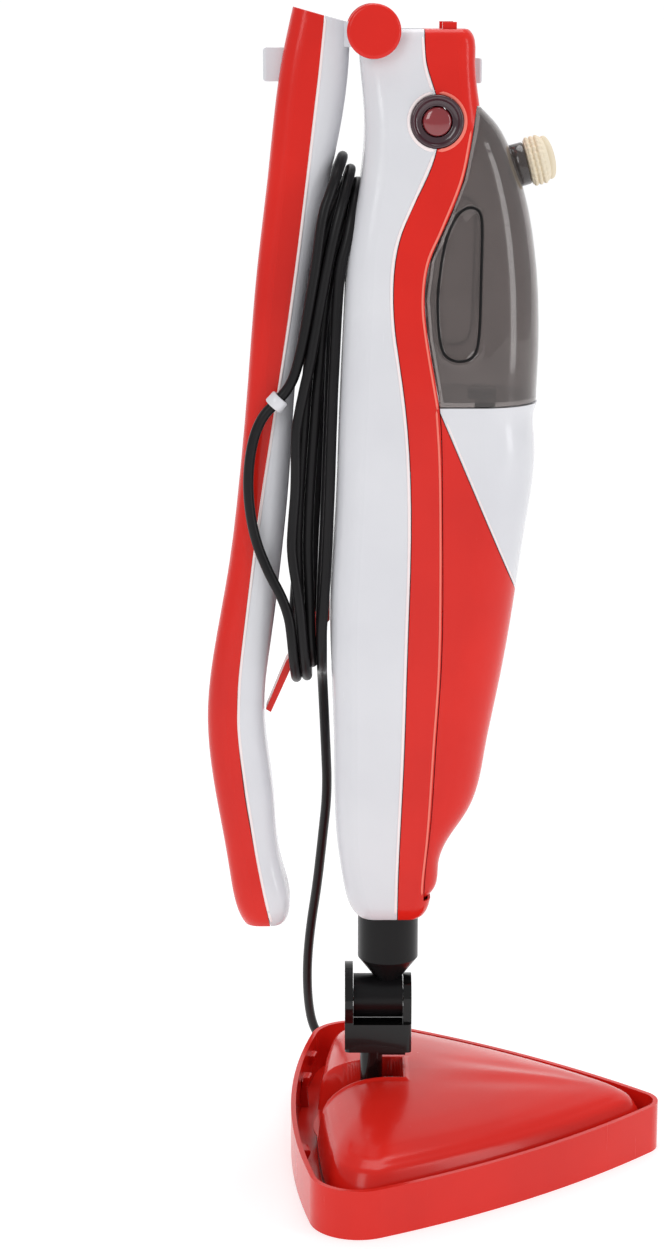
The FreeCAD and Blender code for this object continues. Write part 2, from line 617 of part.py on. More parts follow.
def make_boiler():
    can = rod(23.0, (14, 0, 236), (0, 0, 1), 104)
    can = can.makeFillet(5.0, [e for e in can.Edges if e.Closed])
    neck = rod(5.0, (14, 0, 340), (0, 0, 1), 8)
    return can.fuse(neck).cut(rod(20.5, (14, 0, 240), (0, 0, 1), 96))


def make_heater():
    ring = Part.makeTorus(13.0, 3.2, V(14, 0, 252))
    return ring


def make_thermostat():
    return rod(8.0, (14, 0, 348.4), (0, 0, 1), 6).fuse(box((8, 20), (-3, 3), (354.4, 358))).removeSplitter()


def make_pump():
    case = box((8, 44), (-17, 17), (372, 424))
    case = case.makeFillet(4.0, case.Edges)
    inlet = rod(4.0, (30, 0, 423), (0, 0, 1), 9)
    outlet = rod(4.0, (30, 0, 365), (0, 0, 1), 8)
    return case.multiFuse([inlet, outlet]).removeSplitter()


def make_board():
    board = box((-19, -17.4), (-24, 24), (396, 498))
    relay = box((-17.4, -4), (-10, 8), (430, 450))
    capacitor = rod(6.0, (-17.4, 14, 470), (1, 0, 0), 12)
    return board.multiFuse([relay, capacitor]).removeSplitter()


def make_switch():
    return box((14, 34), (-22, 22), (621, 629))


def make_steam_pipe():
    pipe = rod(4.0, (0, 0, 187), (0, 0, 1), 46)
    return pipe.cut(rod(2.6, (0, 0, 180), (0, 0, 1), 60))


def make_feed_hose():
    hose = rod(4.0, (VALVE_X - 24, 0, 433), (0, 0, 1), 12)
    return hose.cut(rod(2.6, (VALVE_X - 24, 0, 430), (0, 0, 1), 20))


# ---- tank ----

def along_cap(distance):
    return tuple(c + a * distance for c, a in zip(CAP_POINT, CAP_AXIS))


def make_tank():
    keep = beyond(TANK_SEAM, 140, SEAM_GAP + 0.2)
    outer = loft(TANK).common(keep)
    room = loft(TANK, TANK_WALL, TANK_BOTTOM + TANK_WALL, 640.5 - TANK_WALL)
    room = room.common(beyond(TANK_SEAM, 140, SEAM_GAP + 0.2 + TANK_WALL))
    neck = rod(NECK_RADIUS + 2, along_cap(-10), CAP_AXIS, 14)
    tank = outer.fuse(neck).cut(room)
    tank = tank.cut(rod(NECK_RADIUS, along_cap(-16), CAP_AXIS, 30))
    return tank.cut(rod(5.0, (VALVE_X, 0, TANK_BOTTOM - 5), (0, 0, 1), 12)).removeSplitter()


def make_valve():
    """Spring valve in the tank floor, reaching down into the seat."""
    stem = rod(4.8, (VALVE_X, 0, TANK_BOTTOM - 6), (0, 0, 1), 9.5)
    flange = rod(8.5, (VALVE_X, 0, TANK_BOTTOM + TANK_WALL + 0.1), (0, 0, 1), 3)
    return stem.fuse(flange).removeSplitter()


def make_cap():
    """Ribbed filler cap with its plug in the neck."""
    top = rod(CAP_RADIUS, along_cap(4.6), CAP_AXIS, 8)
    top = top.makeFillet(1.6, [e for e in top.Edges if e.Closed])
    grip = box((0, 5), (-3.2, 3.2), (-12.4, 12.4))
    grip.rotate(V(0, 0, 0), V(0, 1, 0), -15)
    grip.translate(V(*along_cap(12.0)))
    stopper = rod(NECK_RADIUS - 0.4, along_cap(-4), CAP_AXIS, 9)
    return top.multiFuse([grip, stopper]).removeSplitter()


# ---- handle ----

def handle_end_cut():
    """Everything above the handle's sloping top."""
    return side_prism([(-80, 699.5), (-57, 696.5), (-38, 691.2), (-26, 688), (20, 688), (20, 720), (-80, 720)])


def make_handle():
    outer = loft(HANDLE).cut(handle_end_cut())
    lowered = handle_end_cut()
    lowered.translate(V(0, 0, -HANDLE_WALL))
    inner = loft(HANDLE, HANDLE_WALL, HANDLE_BOTTOM + HANDLE_WALL, 698).cut(lowered)
    wall = outer.cut(inner)
    clear = rod(LUG_RADIUS + 0.8, (HINGE_X, -60, HINGE_Z), (0, 1, 0), 120)
    tongue_hole = box((-46, 0), (-BARREL_HALF - 0.1, BARREL_HALF + 0.1), (HINGE_Z - 9.1, HINGE_Z + 5.1))
    red = wall.cut(beyond(HANDLE_SEAM, 60)).cut(fold_button_shape(BUTTON_CLEARANCE))
    white = wall.common(beyond(HANDLE_SEAM, 60, SEAM_GAP)).cut(clear).cut(tongue_hole)
    return red, white


def make_barrel():
    """Hinge barrel and the tongue that ties it into the handle."""
    barrel = rod(BARREL_RADIUS, (HINGE_X, -BARREL_HALF, HINGE_Z), (0, 1, 0), 2 * BARREL_HALF)
    tongue = box((-44, HINGE_X), (-BARREL_HALF, BARREL_HALF), (HINGE_Z - 9, HINGE_Z + 5))
    inside = loft(HANDLE, HANDLE_WALL + 0.3, HANDLE_BOTTOM + 3, 698)
    root = inside.common(box((-42, -28), (-30, 30), (652, 684)))
    body = barrel.multiFuse([tongue, root])
    return body.cut(rod(AXLE_RADIUS + RUNNING, (HINGE_X, -60, HINGE_Z), (0, 1, 0), 120)).removeSplitter()


def fold_button_shape(grow=0.0):
    return box((-74, -50) if grow == 0 else (-90, -45), (-7 - grow, 7 + grow),
               (FOLD_BUTTON_Z - 9.5 - grow, FOLD_BUTTON_Z + 9.5 + grow))


def make_fold_button():
    button = fold_button_shape()
    return button.makeFillet(2.0, [e for e in button.Edges if e.CenterOfMass.x < -73])


def make_clip():
    """Small open hook on the handle's side that holds one strand."""
    start = [c - 4.5 * a for c, a in zip(CLIP_AT, CLIP_ALONG)]
    ring = rod(6.6, start, CLIP_ALONG, 9).cut(rod(LEAD_DIAMETER / 2 + 1.3, start, CLIP_ALONG, 9))
    mouth = box((-2.6, 2.6), (-12, 0), (-20, 20))
    mouth.translate(V(*CLIP_AT))
    stem = box((-71.5, -62.5), (-24.6, -20.45), (466.5, 475.5))
    return ring.cut(mouth).fuse(stem).cut(loft(HANDLE, -0.1)).removeSplitter()


# ---- mains lead ----

def make_gland():
    """Boss behind the body with a tapered strain relief pointing down."""
    boss = box((-38.6, -22), (-7, 7), (560, 573))
    cone = Part.makeCone(3.6, 5.4, 20, V(-33.5, 0, 541), V(0, 0, 1))
    return boss.fuse(cone).cut(loft(CORE, -0.3)).removeSplitter()


def make_hank():
    """Outer shape of the wound lead: an oval ring that fans out downwards."""
    def oval(half):
        low, high = HANK_LOW, HANK_HIGH
        points = [V(-90, -half, low), V(-90, 0, low - half), V(-90, half, low), V(-90, half, high),
                  V(-90, 0, high + half), V(-90, -half, high)]
        wire = Part.Wire([Part.Arc(points[0], points[1], points[2]).toShape(), Part.makeLine(points[2], points[3]),
                          Part.Arc(points[3], points[4], points[5]).toShape(), Part.makeLine(points[5], points[0])])
        return Part.Face(wire).extrude(V(100, 0, 0))
    ring = oval(HANK_HALF_WIDTH + HANK_BUNDLE).cut(oval(HANK_HALF_WIDTH))
    return ring.common(side_prism(HANK_OUTLINE))


def place_plug(shape):
    shape.rotate(V(0, 0, 0), V(0, 0, 1), PLUG_TURN)
    shape.translate(V(PLUG_START[0], PLUG_START[1], 0))
    return shape


def make_plug():
    grip = box((10, PLUG_LENGTH), (-PLUG_WIDTH / 2, PLUG_WIDTH / 2), (0.4, PLUG_HEIGHT))
    grip = grip.makeFillet(3.0, grip.Edges)
    relief = Part.makeCone(3.2, 5.4, 12, V(0.9, 0, PLUG_HEIGHT / 2 - 1.2), V(1, 0, 0))
    return place_plug(grip.fuse(relief.common(box((0, 30), (-9, 9), (0.4, 20)))))


def make_plug_pins():
    pins = [box((PLUG_LENGTH + 0.05, PLUG_LENGTH + 17), (y - 0.75, y + 0.75), (5, 11.3)) for y in (-6.35, 6.35)]
    return place_plug(Part.makeCompound(pins))


def build():
    rear_shell, side_frame, inner = make_shells()
    bowl, front_shell = make_front()
    handle_outer, handle_inner = make_handle()
    parts = {
        "carpet_glider": make_glider(),
        "mop_pad": make_pad(),
        "sole_plate": make_sole(),
        "head_cover": make_dome(),
        "tilt_socket": make_socket(),
        "tilt_pin": make_tilt_pin(),
        "swivel_yoke": make_yoke(),
        "swivel_pin": make_swivel_pin(),
        "neck_collar": make_collar(),
        "neck_seal": make_neck_seal(),
        "rear_shell": rear_shell,
        "side_frame": side_frame,
        "bowl": bowl,
        "front_shell": front_shell,
        "chassis": make_chassis(inner),
        "tank_seat": make_tank_seat(),
        "shell_screws": make_screws(),
        "hinge_block": make_hinge_block(),
        "hinge_axle": make_axle(),
        "knob_left": make_knob(-1),
        "knob_right": make_knob(1),
        "bezel_left": make_bezel(-1),
        "bezel_right": make_bezel(1),
        "side_button_left": make_side_button(-1),
        "side_button_right": make_side_button(1),
        "latch_button": make_latch(),
        "top_catch": make_catch(),
        "upper_cord_hook": make_upper_hook(),
        "lower_cord_hook": make_lower_hook(),
        "boiler": make_boiler(),
        "heating_ring": make_heater(),
        "thermostat": make_thermostat(),
        "water_pump": make_pump(),
        "control_board": make_board(),
        "steam_switch": make_switch(),
        "steam_pipe": make_steam_pipe(),
        "feed_hose": make_feed_hose(),
        "water_tank": make_tank(),
        "tank_valve": make_valve(),
        "filler_cap": make_cap(),
        "handle_outer_shell": handle_outer,
        "handle_inner_shell": handle_inner,
        "hinge_barrel": make_barrel(),
        "fold_button": make_fold_button(),
        "cord_clip": make_clip(),
        "cord_gland": make_gland(),
        "cord_lead": tube(LEAD_IN, LEAD_DIAMETER, "cord_lead"),
        "cord_hank": make_hank(),
        "cord_loop": tube(CLIP_LOOP, LEAD_DIAMETER, "cord_loop"),
        "cord_tail": tube(TAIL, LEAD_DIAMETER, "cord_tail"),
        "plug": make_plug(),
        "plug_pins": make_plug_pins(),
    }
    os.makedirs("parts", exist_ok=True)
    for name, shape in parts.items():
        shape.exportStep(f"parts/{name}.step")
        print(f"{name:20s} solids {len(shape.Solids)} valid {shape.isValid()} volume {shape.Volume:.0f}")


build()
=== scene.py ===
import json
import math

import bpy
import numpy as np
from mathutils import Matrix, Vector
from mathutils.bvhtree import BVHTree


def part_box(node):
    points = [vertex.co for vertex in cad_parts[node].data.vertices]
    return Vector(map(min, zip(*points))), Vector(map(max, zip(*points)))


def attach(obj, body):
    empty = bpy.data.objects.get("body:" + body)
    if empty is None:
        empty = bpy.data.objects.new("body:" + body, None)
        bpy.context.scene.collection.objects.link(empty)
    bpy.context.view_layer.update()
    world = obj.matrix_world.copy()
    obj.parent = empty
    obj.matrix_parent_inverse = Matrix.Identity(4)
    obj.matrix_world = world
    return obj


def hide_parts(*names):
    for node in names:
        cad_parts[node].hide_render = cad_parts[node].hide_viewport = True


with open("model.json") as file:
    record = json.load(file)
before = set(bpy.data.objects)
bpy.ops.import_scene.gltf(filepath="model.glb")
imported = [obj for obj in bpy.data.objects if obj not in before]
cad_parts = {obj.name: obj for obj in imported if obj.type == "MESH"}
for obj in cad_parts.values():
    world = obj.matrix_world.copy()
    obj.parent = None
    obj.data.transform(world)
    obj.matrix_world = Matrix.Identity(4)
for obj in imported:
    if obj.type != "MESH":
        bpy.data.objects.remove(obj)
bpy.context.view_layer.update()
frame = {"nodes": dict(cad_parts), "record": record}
NODES = frame["nodes"]
MM = 0.001

# Colours, linear
RED = (0.74, 0.020, 0.012, 1)
RED_DEEP = (0.66, 0.016, 0.010, 1)
WHITE = (0.76, 0.76, 0.79, 1)
WHITE_SHADE = (0.70, 0.70, 0.735, 1)
BLACK = (0.006, 0.0055, 0.006, 1)
BLACK_SOFT = (0.009, 0.0085, 0.009, 1)
BLACK_WORN = (0.012, 0.011, 0.012, 1)
INK = (0.004, 0.0035, 0.0035, 1)
INK_SOFT = (0.006, 0.005, 0.005, 1)
PLUM = (0.06, 0.022, 0.03, 1)
PLUM_DEEP = (0.03, 0.012, 0.02, 1)
RUBY = (0.27, 0.02, 0.025, 1)
RUBY_DEEP = (0.16, 0.012, 0.02, 1)
SMOKE = (0.34, 0.298, 0.288, 1)
SMOKE_DEEP = (0.24, 0.208, 0.2, 1)
CREAM = (0.86, 0.76, 0.58, 1)
CREAM_DEEP = (0.80, 0.68, 0.50, 1)
# Painted highlights: a pale and a salmon colour for the lit rounded edges at the shells' seams and the
# button's lip
PALE_HIGHLIGHT = (0.98, 0.88, 0.87, 1)
PALE_HIGHLIGHT_DEEP = (0.94, 0.80, 0.79, 1)
RED_HIGHLIGHT = (0.95, 0.22, 0.16, 1)
RED_HIGHLIGHT_DEEP = (0.90, 0.16, 0.12, 1)
ZINC = (0.55, 0.55, 0.56, 1)
ZINC_DEEP = (0.45, 0.45, 0.46, 1)
ALUMINIUM = (0.62, 0.62, 0.63, 1)
ALUMINIUM_DEEP = (0.5, 0.5, 0.51, 1)
NICKEL = (0.62, 0.58, 0.5, 1)
NICKEL_DEEP = (0.5, 0.46, 0.4, 1)
SILICONE = (0.6, 0.56, 0.5, 1)
SILICONE_DEEP = (0.5, 0.46, 0.4, 1)
RUBBER = (0.02, 0.02, 0.02, 1)
RUBBER_DUSTY = (0.03, 0.03, 0.03, 1)
BOARD = (0.02, 0.16, 0.06, 1)
BOARD_DEEP = (0.01, 0.10, 0.04, 1)
FIBRE = (0.75, 0.76, 0.78, 1)
FIBRE_SHADE = (0.6, 0.61, 0.64, 1)


# ---- node helpers ----

def add(tree, kind, **values):
    """A node with its settings and its inputs' plain values."""
    node = tree.nodes.new(kind)
    for name, value in values.items():
        if hasattr(node, name):
            setattr(node, name, value)
        else:
            node.inputs[name.replace("_", " ")].default_value = value
    return node


def ramp_between(tree, value, low, high):
    """Map a value's low..high onto 0..1."""
    node = add(tree, "ShaderNodeMapRange")
    node.inputs["From Min"].default_value = low
    node.inputs["From Max"].default_value = high
    tree.links.new(value, node.inputs["Value"])
    return node.outputs["Result"]


def mix_colour(tree, factor, a, b):
    """Blend two colours, each a link or a plain value, by a factor."""
    node = add(tree, "ShaderNodeMix", data_type="RGBA")
    for socket, value in ((node.inputs[0], factor), (node.inputs[6], a), (node.inputs[7], b)):
        if isinstance(value, bpy.types.NodeSocket):
            tree.links.new(value, socket)
        else:
            socket.default_value = value
    return node.outputs[2]


def new_group(name, inputs, outputs):
    """An empty node group with those sockets, and its two end nodes."""
    tree = bpy.data.node_groups.new(name, "ShaderNodeTree")
    for label, kind, default in inputs:
        socket = tree.interface.new_socket(label, in_out="INPUT", socket_type=kind)
        socket.default_value = default
    for label, kind in outputs:
        tree.interface.new_socket(label, in_out="OUTPUT", socket_type=kind)
    return tree, tree.nodes.new("NodeGroupInput"), tree.nodes.new("NodeGroupOutput")


# Noise scale and the noise values between which one colour gives way to the other.
DRIFT_SCALE = 14.0
DRIFT_RANGE = (0.35, 0.75)
# Scratches: noise scale along each axis, turn about each, and the values at which they come in.
SCRATCH_SCALE = (260.0, 260.0, 22.0)
SCRATCH_TURN = (0.25, 0.4, 0.1)
SCRATCH_RANGE = (0.66, 0.74)
SCRATCH_ROUGHNESS = 0.16
SCRATCH_DEPTH = 0.35
CLOUD_SCALE = 38.0
CLOUD_ROUGHNESS = 0.06
# How deep the relief of the grain and scratches may be, in metres.
RELIEF = 0.0006


def moulded_group():
    """Moulded plastic: broad tone drift, fine mould texture, hairline scratches and dust."""
    tree, given, out = new_group(
        "moulded plastic",
        [("Colour", "NodeSocketColor", WHITE), ("Shade", "NodeSocketColor", WHITE_SHADE),
         ("Roughness", "NodeSocketFloat", 0.2), ("Texture Size", "NodeSocketFloat", 900.0),
         ("Wear", "NodeSocketFloat", 0.5)],
        [("Colour", "NodeSocketColor"), ("Roughness", "NodeSocketFloat"), ("Height", "NodeSocketFloat")])
    link = tree.links.new

    def scaled(value, factor, added):
        node = add(tree, "ShaderNodeMath", operation="MULTIPLY_ADD")
        link(value, node.inputs[0])
        node.inputs[1].default_value = factor
        link(added, node.inputs[2])
        return node.outputs[0]

    place = add(tree, "ShaderNodeTexCoord").outputs["Object"]
    drift = add(tree, "ShaderNodeTexNoise", Scale=DRIFT_SCALE, Detail=3.0)
    link(place, drift.inputs["Vector"])
    tone = ramp_between(tree, drift.outputs["Fac"], *DRIFT_RANGE)
    colour = mix_colour(tree, tone, given.outputs["Colour"], given.outputs["Shade"])
    grain = add(tree, "ShaderNodeTexNoise", Detail=2.0)
    link(place, grain.inputs["Vector"])
    link(given.outputs["Texture Size"], grain.inputs["Scale"])
    stretch = add(tree, "ShaderNodeMapping")
    stretch.inputs["Scale"].default_value = SCRATCH_SCALE
    stretch.inputs["Rotation"].default_value = SCRATCH_TURN
    link(place, stretch.inputs["Vector"])
    scratch = add(tree, "ShaderNodeTexNoise", Scale=1.0, Detail=5.0, Roughness=0.7)
    link(stretch.outputs["Vector"], scratch.inputs["Vector"])
    hairline = ramp_between(tree, scratch.outputs["Fac"], *SCRATCH_RANGE)
    worn = add(tree, "ShaderNodeMath", operation="MULTIPLY")
    link(hairline, worn.inputs[0])
    link(given.outputs["Wear"], worn.inputs[1])
    cloud = add(tree, "ShaderNodeTexNoise", Scale=CLOUD_SCALE, Detail=4.0)
    link(place, cloud.inputs["Vector"])
    rough = scaled(worn.outputs[0], SCRATCH_ROUGHNESS, given.outputs["Roughness"])
    link(colour, out.inputs["Colour"])
    link(scaled(cloud.outputs["Fac"], CLOUD_ROUGHNESS, rough), out.inputs["Roughness"])
    link(scaled(worn.outputs[0], -SCRATCH_DEPTH, grain.outputs["Fac"]), out.inputs["Height"])
    return tree


MOULDED = moulded_group()


def principled(name, sockets):
    """A material with those values on its shader's sockets."""
    material = bpy.data.materials.new(name)
    material.use_nodes = True
    tree = material.node_tree
    shader = tree.nodes["Principled BSDF"]
    for label, value in sockets.items():
        shader.inputs[label].default_value = value
    return material, tree, shader


def moulded(name, colour, shade, roughness, texture, bump, wear, sockets):
    """A moulded plastic, metal or cloth of its own colours, gloss and grain."""
    material, tree, shader = principled(name, sockets)
    group = add(tree, "ShaderNodeGroup")
    group.node_tree = MOULDED
    for label, value in (("Colour", colour), ("Shade", shade), ("Roughness", roughness),
                         ("Texture Size", texture), ("Wear", wear)):
        group.inputs[label].default_value = value
    relief = add(tree, "ShaderNodeBump", Strength=bump, Distance=RELIEF)
    tree.links.new(group.outputs["Height"], relief.inputs["Height"])
    tree.links.new(group.outputs["Colour"], shader.inputs["Base Color"])
    tree.links.new(group.outputs["Roughness"], shader.inputs["Roughness"])
    tree.links.new(relief.outputs["Normal"], shader.inputs["Normal"])
    return material


def specular(level):
    return {"Specular IOR Level": level}


def gloss(coat, coat_roughness, under=0.5):
    """Shader values of a clear coat, and of the surface's own shine under it."""
    return {"Coat Weight": coat, "Coat Roughness": coat_roughness, **specular(under)}


METAL = {"Metallic": 1.0}
# Finish: name, colour, shade, roughness, texture size, bump, wear, other shader values.
FINISHES = {
    "red_plastic": ("red gloss plastic", RED, RED_DEEP, 0.20, 700, 0.02, 0.6, gloss(0.08, 0.06, 0.26)),
    "white_plastic": ("white gloss plastic", WHITE, WHITE_SHADE, 0.20, 700, 0.03, 0.5, gloss(0.25, 0.08)),
    "black_plastic": ("black satin plastic", BLACK, BLACK_SOFT, 0.26, 1400, 0.05, 0.7, specular(0.2)),
    "gloss_black": ("gloss black plastic", INK, INK_SOFT, 0.12, 900, 0.01, 0.5, gloss(0.25, 0.04, 0.25)),
    "dark_trim": ("dark gloss trim", PLUM, PLUM_DEEP, 0.12, 900, 0.02, 0.4, gloss(0.6, 0.05)),
    "red_button": ("red lens button", RUBY, RUBY_DEEP, 0.10, 900, 0.01, 0.3, gloss(1.0, 0.03)),
    "smoke_plastic": ("smoked clear plastic", SMOKE, SMOKE_DEEP, 0.10, 500, 0.002, 0.4,
                      {**gloss(0.6, 0.05), "Transmission Weight": 0.82, "IOR": 1.3}),
    # Painted highlights on the seam beads and the button's lip: a pale one and a salmon one
    "seam_edge": ("painted white edge highlight", PALE_HIGHLIGHT, PALE_HIGHLIGHT_DEEP, 0.3, 900, 0.01, 0.1, {}),
    "red_edge": ("painted red edge highlight", RED_HIGHLIGHT, RED_HIGHLIGHT_DEEP, 0.3, 900, 0.01, 0.1, {}),
    "cream_plastic": ("cream soft plastic", CREAM, CREAM_DEEP, 0.45, 900, 0.08, 0.4, {}),
    "steel": ("zinc-plated steel", ZINC, ZINC_DEEP, 0.30, 1500, 0.05, 0.8, METAL),
    "aluminium": ("cast aluminium", ALUMINIUM, ALUMINIUM_DEEP, 0.5, 1200, 0.25, 0.5, METAL),
    "rubber": ("black rubber", RUBBER, RUBBER_DUSTY, 0.55, 1500, 0.15, 0.3, {}),
    "silicone_hose": ("silicone hose", SILICONE, SILICONE_DEEP, 0.4, 900, 0.05, 0.2, {}),
    "circuit_board": ("lacquered board", BOARD, BOARD_DEEP, 0.3, 1200, 0.1, 0.3, {}),
    "microfibre": ("looped microfibre", FIBRE, FIBRE_SHADE, 0.9, 700, 0.6, 0.0, {"Sheen Weight": 0.5}),
    "cord_rubber": ("lead jacket", BLACK, BLACK_WORN, 0.30, 1200, 0.05, 0.6, specular(0.22)),
    "brass": ("nickel-plated pins", NICKEL, NICKEL_DEEP, 0.22, 1200, 0.03, 0.6, METAL),
}
MATERIALS = {slot: moulded(*finish) for slot, finish in FINISHES.items()}


def dress_nodes():
    """Give each CAD node the finish of its material slot."""
    for entry in frame["record"]["subparts"]:
        node = NODES[entry["node"]]
        node.data.materials.clear()
        node.data.materials.append(MATERIALS[entry["material_slot"]])


# ---- the mains lead ----

LEAD_RADIUS = 3.1 * MM
# Its route where it is not wound, in millimetres: out of the gland, through the clip, and down to the plug.
EXIT = (-33.5, 0, 540.6)
LEAD_IN = [EXIT, (-34, -0.8, 527), (-34.6, -6, 508), (-35.4, -15, 487), (-36.2, -22.5, 463),
           (-37, -25.4, 440), (-38, -25.6, 412), (-39.3, -25.6, 383), (-40.6, -25.6, 356)]
CLIP_LOOP = [(-43.3, -31.8, 552), (-47, -31.8, 531), (-50, -31.2, 513), (-53.6, -30, 496), (-58, -29, 482.5),
             (-66.4, -28.8, 472.5), (-75.5, -28.8, 463.5), (-81.5, -28.8, 447), (-84, -28.8, 422),
             (-80.5, -28.8, 394), (-72, -29.4, 372), (-64.2, -30.6, 358), (-59.6, -31.6, 345)]
TAIL = [(-40.4, 4, 304.5), (-40.2, 13, 297), (-39.6, 22, 282), (-38.4, 36, 251), (-37.2, 52, 215),
        (-40.6, 71, 178), (-44, 88, 142), (-48, 103, 112), (-50.5, 117, 84), (-51, 130, 60), (-50, 142, 39),
        (-47.5, 151.5, 22), (-42.5, 158.5, 10.2), (-33.5, 162.5, 4.8), (-22.5, 163, 3.7), (-12.5, 159.5, 3.5),
        (-4, 153, 3.4)]
# How far out a strand lies from the hank's middle plane, in its inner and outer layer.
INNER = 25.6
OUTER = 31.8
HEIGHTS = (552, 531, 512, 495, 480, 462, 452, 423, 400, 383, 355)
# Front-to-back place of each strand at those heights; near runs go down, far runs go up.
NEAR_RUNS = {
    "a": (OUTER, (-36.6, -40.6, -44.0, -47.0, -50.5, -54.2, -55.6, -55.3, -57.4, -58.2, -53.6)),
    "b": (INNER, (-41.5, -44.6, -46.6, -47.9, -49.3, -50.6, -51.4, -53.4, -54.6, -55.0, -54.0)),
    "d": (INNER, (-34.5, -38.0, -40.2, -41.5, -43.0, -44.2, -45.0, -47.2, -48.2, -48.6, -47.6)),
    "e": (OUTER, (-29.5, -31.2, -32.2, -33.0, -33.8, -34.4, -34.8, -35.6, -36.6, -37.3, -39.0)),
}
FAR_RUNS = {
    "lead_in": (INNER, (-30.2, -31.0, -32.2, -33.2, -33.9, -34.8, -35.2, -36.9, -38.0, -38.9, -40.0)),
    "d": (INNER, (-37.2, -38.0, -38.9, -39.8, -40.5, -41.4, -41.9, -43.3, -44.5, -45.4, -46.5)),
    "b": (INNER, (-43.8, -44.8, -45.4, -46.4, -47.0, -47.9, -48.4, -50.0, -51.1, -52.0, -53.0)),
    "loop": (OUTER, (-34.6, -37.2, -39.3, -41.2, -43.0, -45.0, -46.0, -49.3, -51.8, -53.5, -56.5)),
    "a": (OUTER, (-27.6, -30.6, -32.6, -34.7, -36.4, -38.5, -39.6, -42.8, -45.2, -47.0, -50.0)),
}
# Over the top: strand to (distance out, near side, crown, far side, height of the arc's middle).
TOP_ARCS = {
    "loop": (OUTER, -39.8, -28.0, -40.4, 580.6),
    "a": (OUTER, -32.1, -23.5, -32.1, 573.3),
    "e": (OUTER, -25.4, -19.5, -24.9, 565.9),
    "b": (INNER, -37.0, -26.2, -35.6, 573.0),
    "d": (INNER, -30.2, -21.0, -29.6, 565.8),
}
# Under the bottom: the same, from the near side to the far side.
BOTTOM_ARCS = {
    "loop": (OUTER, -58.2, -55.6, -57.8, 333.5),
    "a": (OUTER, -51.9, -49.3, -51.6, 334.5),
    "b": (INNER, -53.6, -52.2, -53.4, 334.0),
    "d": (INNER, -47.4, -46.0, -47.2, 336.5),
    "lead_in": (INNER, -41.0, -40.6, -41.0, 340.0),
}
# The last pass under the lower hook, which turns off into the tail: crown place, height of the arc's middle,
# number of points and the turn between them.
LAST_PASS = (-40.4, 339.0, 5, 0.36)
# Where the strand that starts the outer layer moves outwards, at the two top heights.
MOVES_OUT = (31.2, 28.6)
# The order in which the lead passes over the top hook.
WINDING = ("d", "b", "loop", "a", "e")
ARC_STEPS = 8


def near_run(name):
    """Down the near side."""
    out, places = NEAR_RUNS[name]
    return [(x, -out, z) for x, z in zip(places, HEIGHTS)]


def far_run(name):
    """Up the far side."""
    out, places = FAR_RUNS[name]
    points = [(x, out, z) for x, z in zip(places, HEIGHTS)]
    if name == "b":
        points[:2] = [(x, moved, z) for x, moved, z in zip(places, MOVES_OUT, HEIGHTS)]
    return points[::-1]


def arc(table, name, top):
    """Half turn at distance r about a middle at height h.

    y = -r cos(t) and z = h + or - r sin(t) for t from 0 to pi, and x moves from side to crown as sin(t).
    """
    out, near_x, crown_x, far_x, middle = table[name]
    points = []
    for step in range(ARC_STEPS + 1):
        turn = math.pi * step / ARC_STEPS
        side_x = near_x if step < ARC_STEPS / 2 else far_x
        x = crown_x + (side_x - crown_x) * (1 - math.sin(turn))
        z = middle + (1 if top else -1) * out * math.sin(turn)
        points.append((x, -out * math.cos(turn), z))
    return points


def lead_route():
    """Out of the gland, five turns on the hooks with one strand through the clip, and down to the plug."""
    route = list(LEAD_IN)
    before = "lead_in"
    for name in WINDING:
        route += arc(BOTTOM_ARCS, before, False)
        route += far_run(before)
        route += arc(TOP_ARCS, name, True)[::-1]
        route += CLIP_LOOP if name == "loop" else near_run(name)
        before = name
    crown_x, middle, count, angle = LAST_PASS
    for turn in [angle * step for step in range(count)]:
        route.append((crown_x, -OUTER * math.cos(turn), middle - OUTER * math.sin(turn)))
    return route + TAIL


def make_lead():
    """One round-section NURBS spline for the whole lead, with the route's points as its control points."""
    curve = bpy.data.curves.new("mains_lead", "CURVE")
    curve.dimensions = "3D"
    curve.bevel_depth = LEAD_RADIUS
    curve.bevel_resolution = 5
    curve.use_fill_caps = True
    spline = curve.splines.new("NURBS")
    points = lead_route()
    spline.points.add(len(points) - 1)
    for point, place in zip(spline.points, points):
        point.co = (place[0] * MM, place[1] * MM, place[2] * MM, 1)
    spline.order_u = 3
    spline.use_endpoint_u = True
    spline.resolution_u = 8
    lead = bpy.data.objects.new("mains_lead", curve)
    bpy.context.scene.collection.objects.link(lead)
    curve.materials.append(MATERIALS["cord_rubber"])
    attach(lead, "body")
    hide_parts("cord_lead", "cord_hank", "cord_loop", "cord_tail")


# ---- meshes ----


def make_mesh(name, points, faces, material, body, smooth=True):
    """A closed mesh in millimetres, turned so that its faces point outwards."""
    mesh = bpy.data.meshes.new(name)
    mesh.from_pydata([(x * MM, y * MM, z * MM) for x, y, z in points], [], faces)
    volume = 0.0
    for face in mesh.polygons:
        corners = [mesh.vertices[i].co for i in face.vertices]
        for b, c in zip(corners[1:], corners[2:]):
            volume += corners[0].dot(b.cross(c))
    if volume < 0:
        mesh.flip_normals()
    if smooth:
        mesh.polygons.foreach_set("use_smooth", [True] * len(mesh.polygons))
    mesh.materials.append(MATERIALS[material])
    piece = bpy.data.objects.new(name, mesh)
    bpy.context.scene.collection.objects.link(piece)
    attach(piece, body)
    return piece


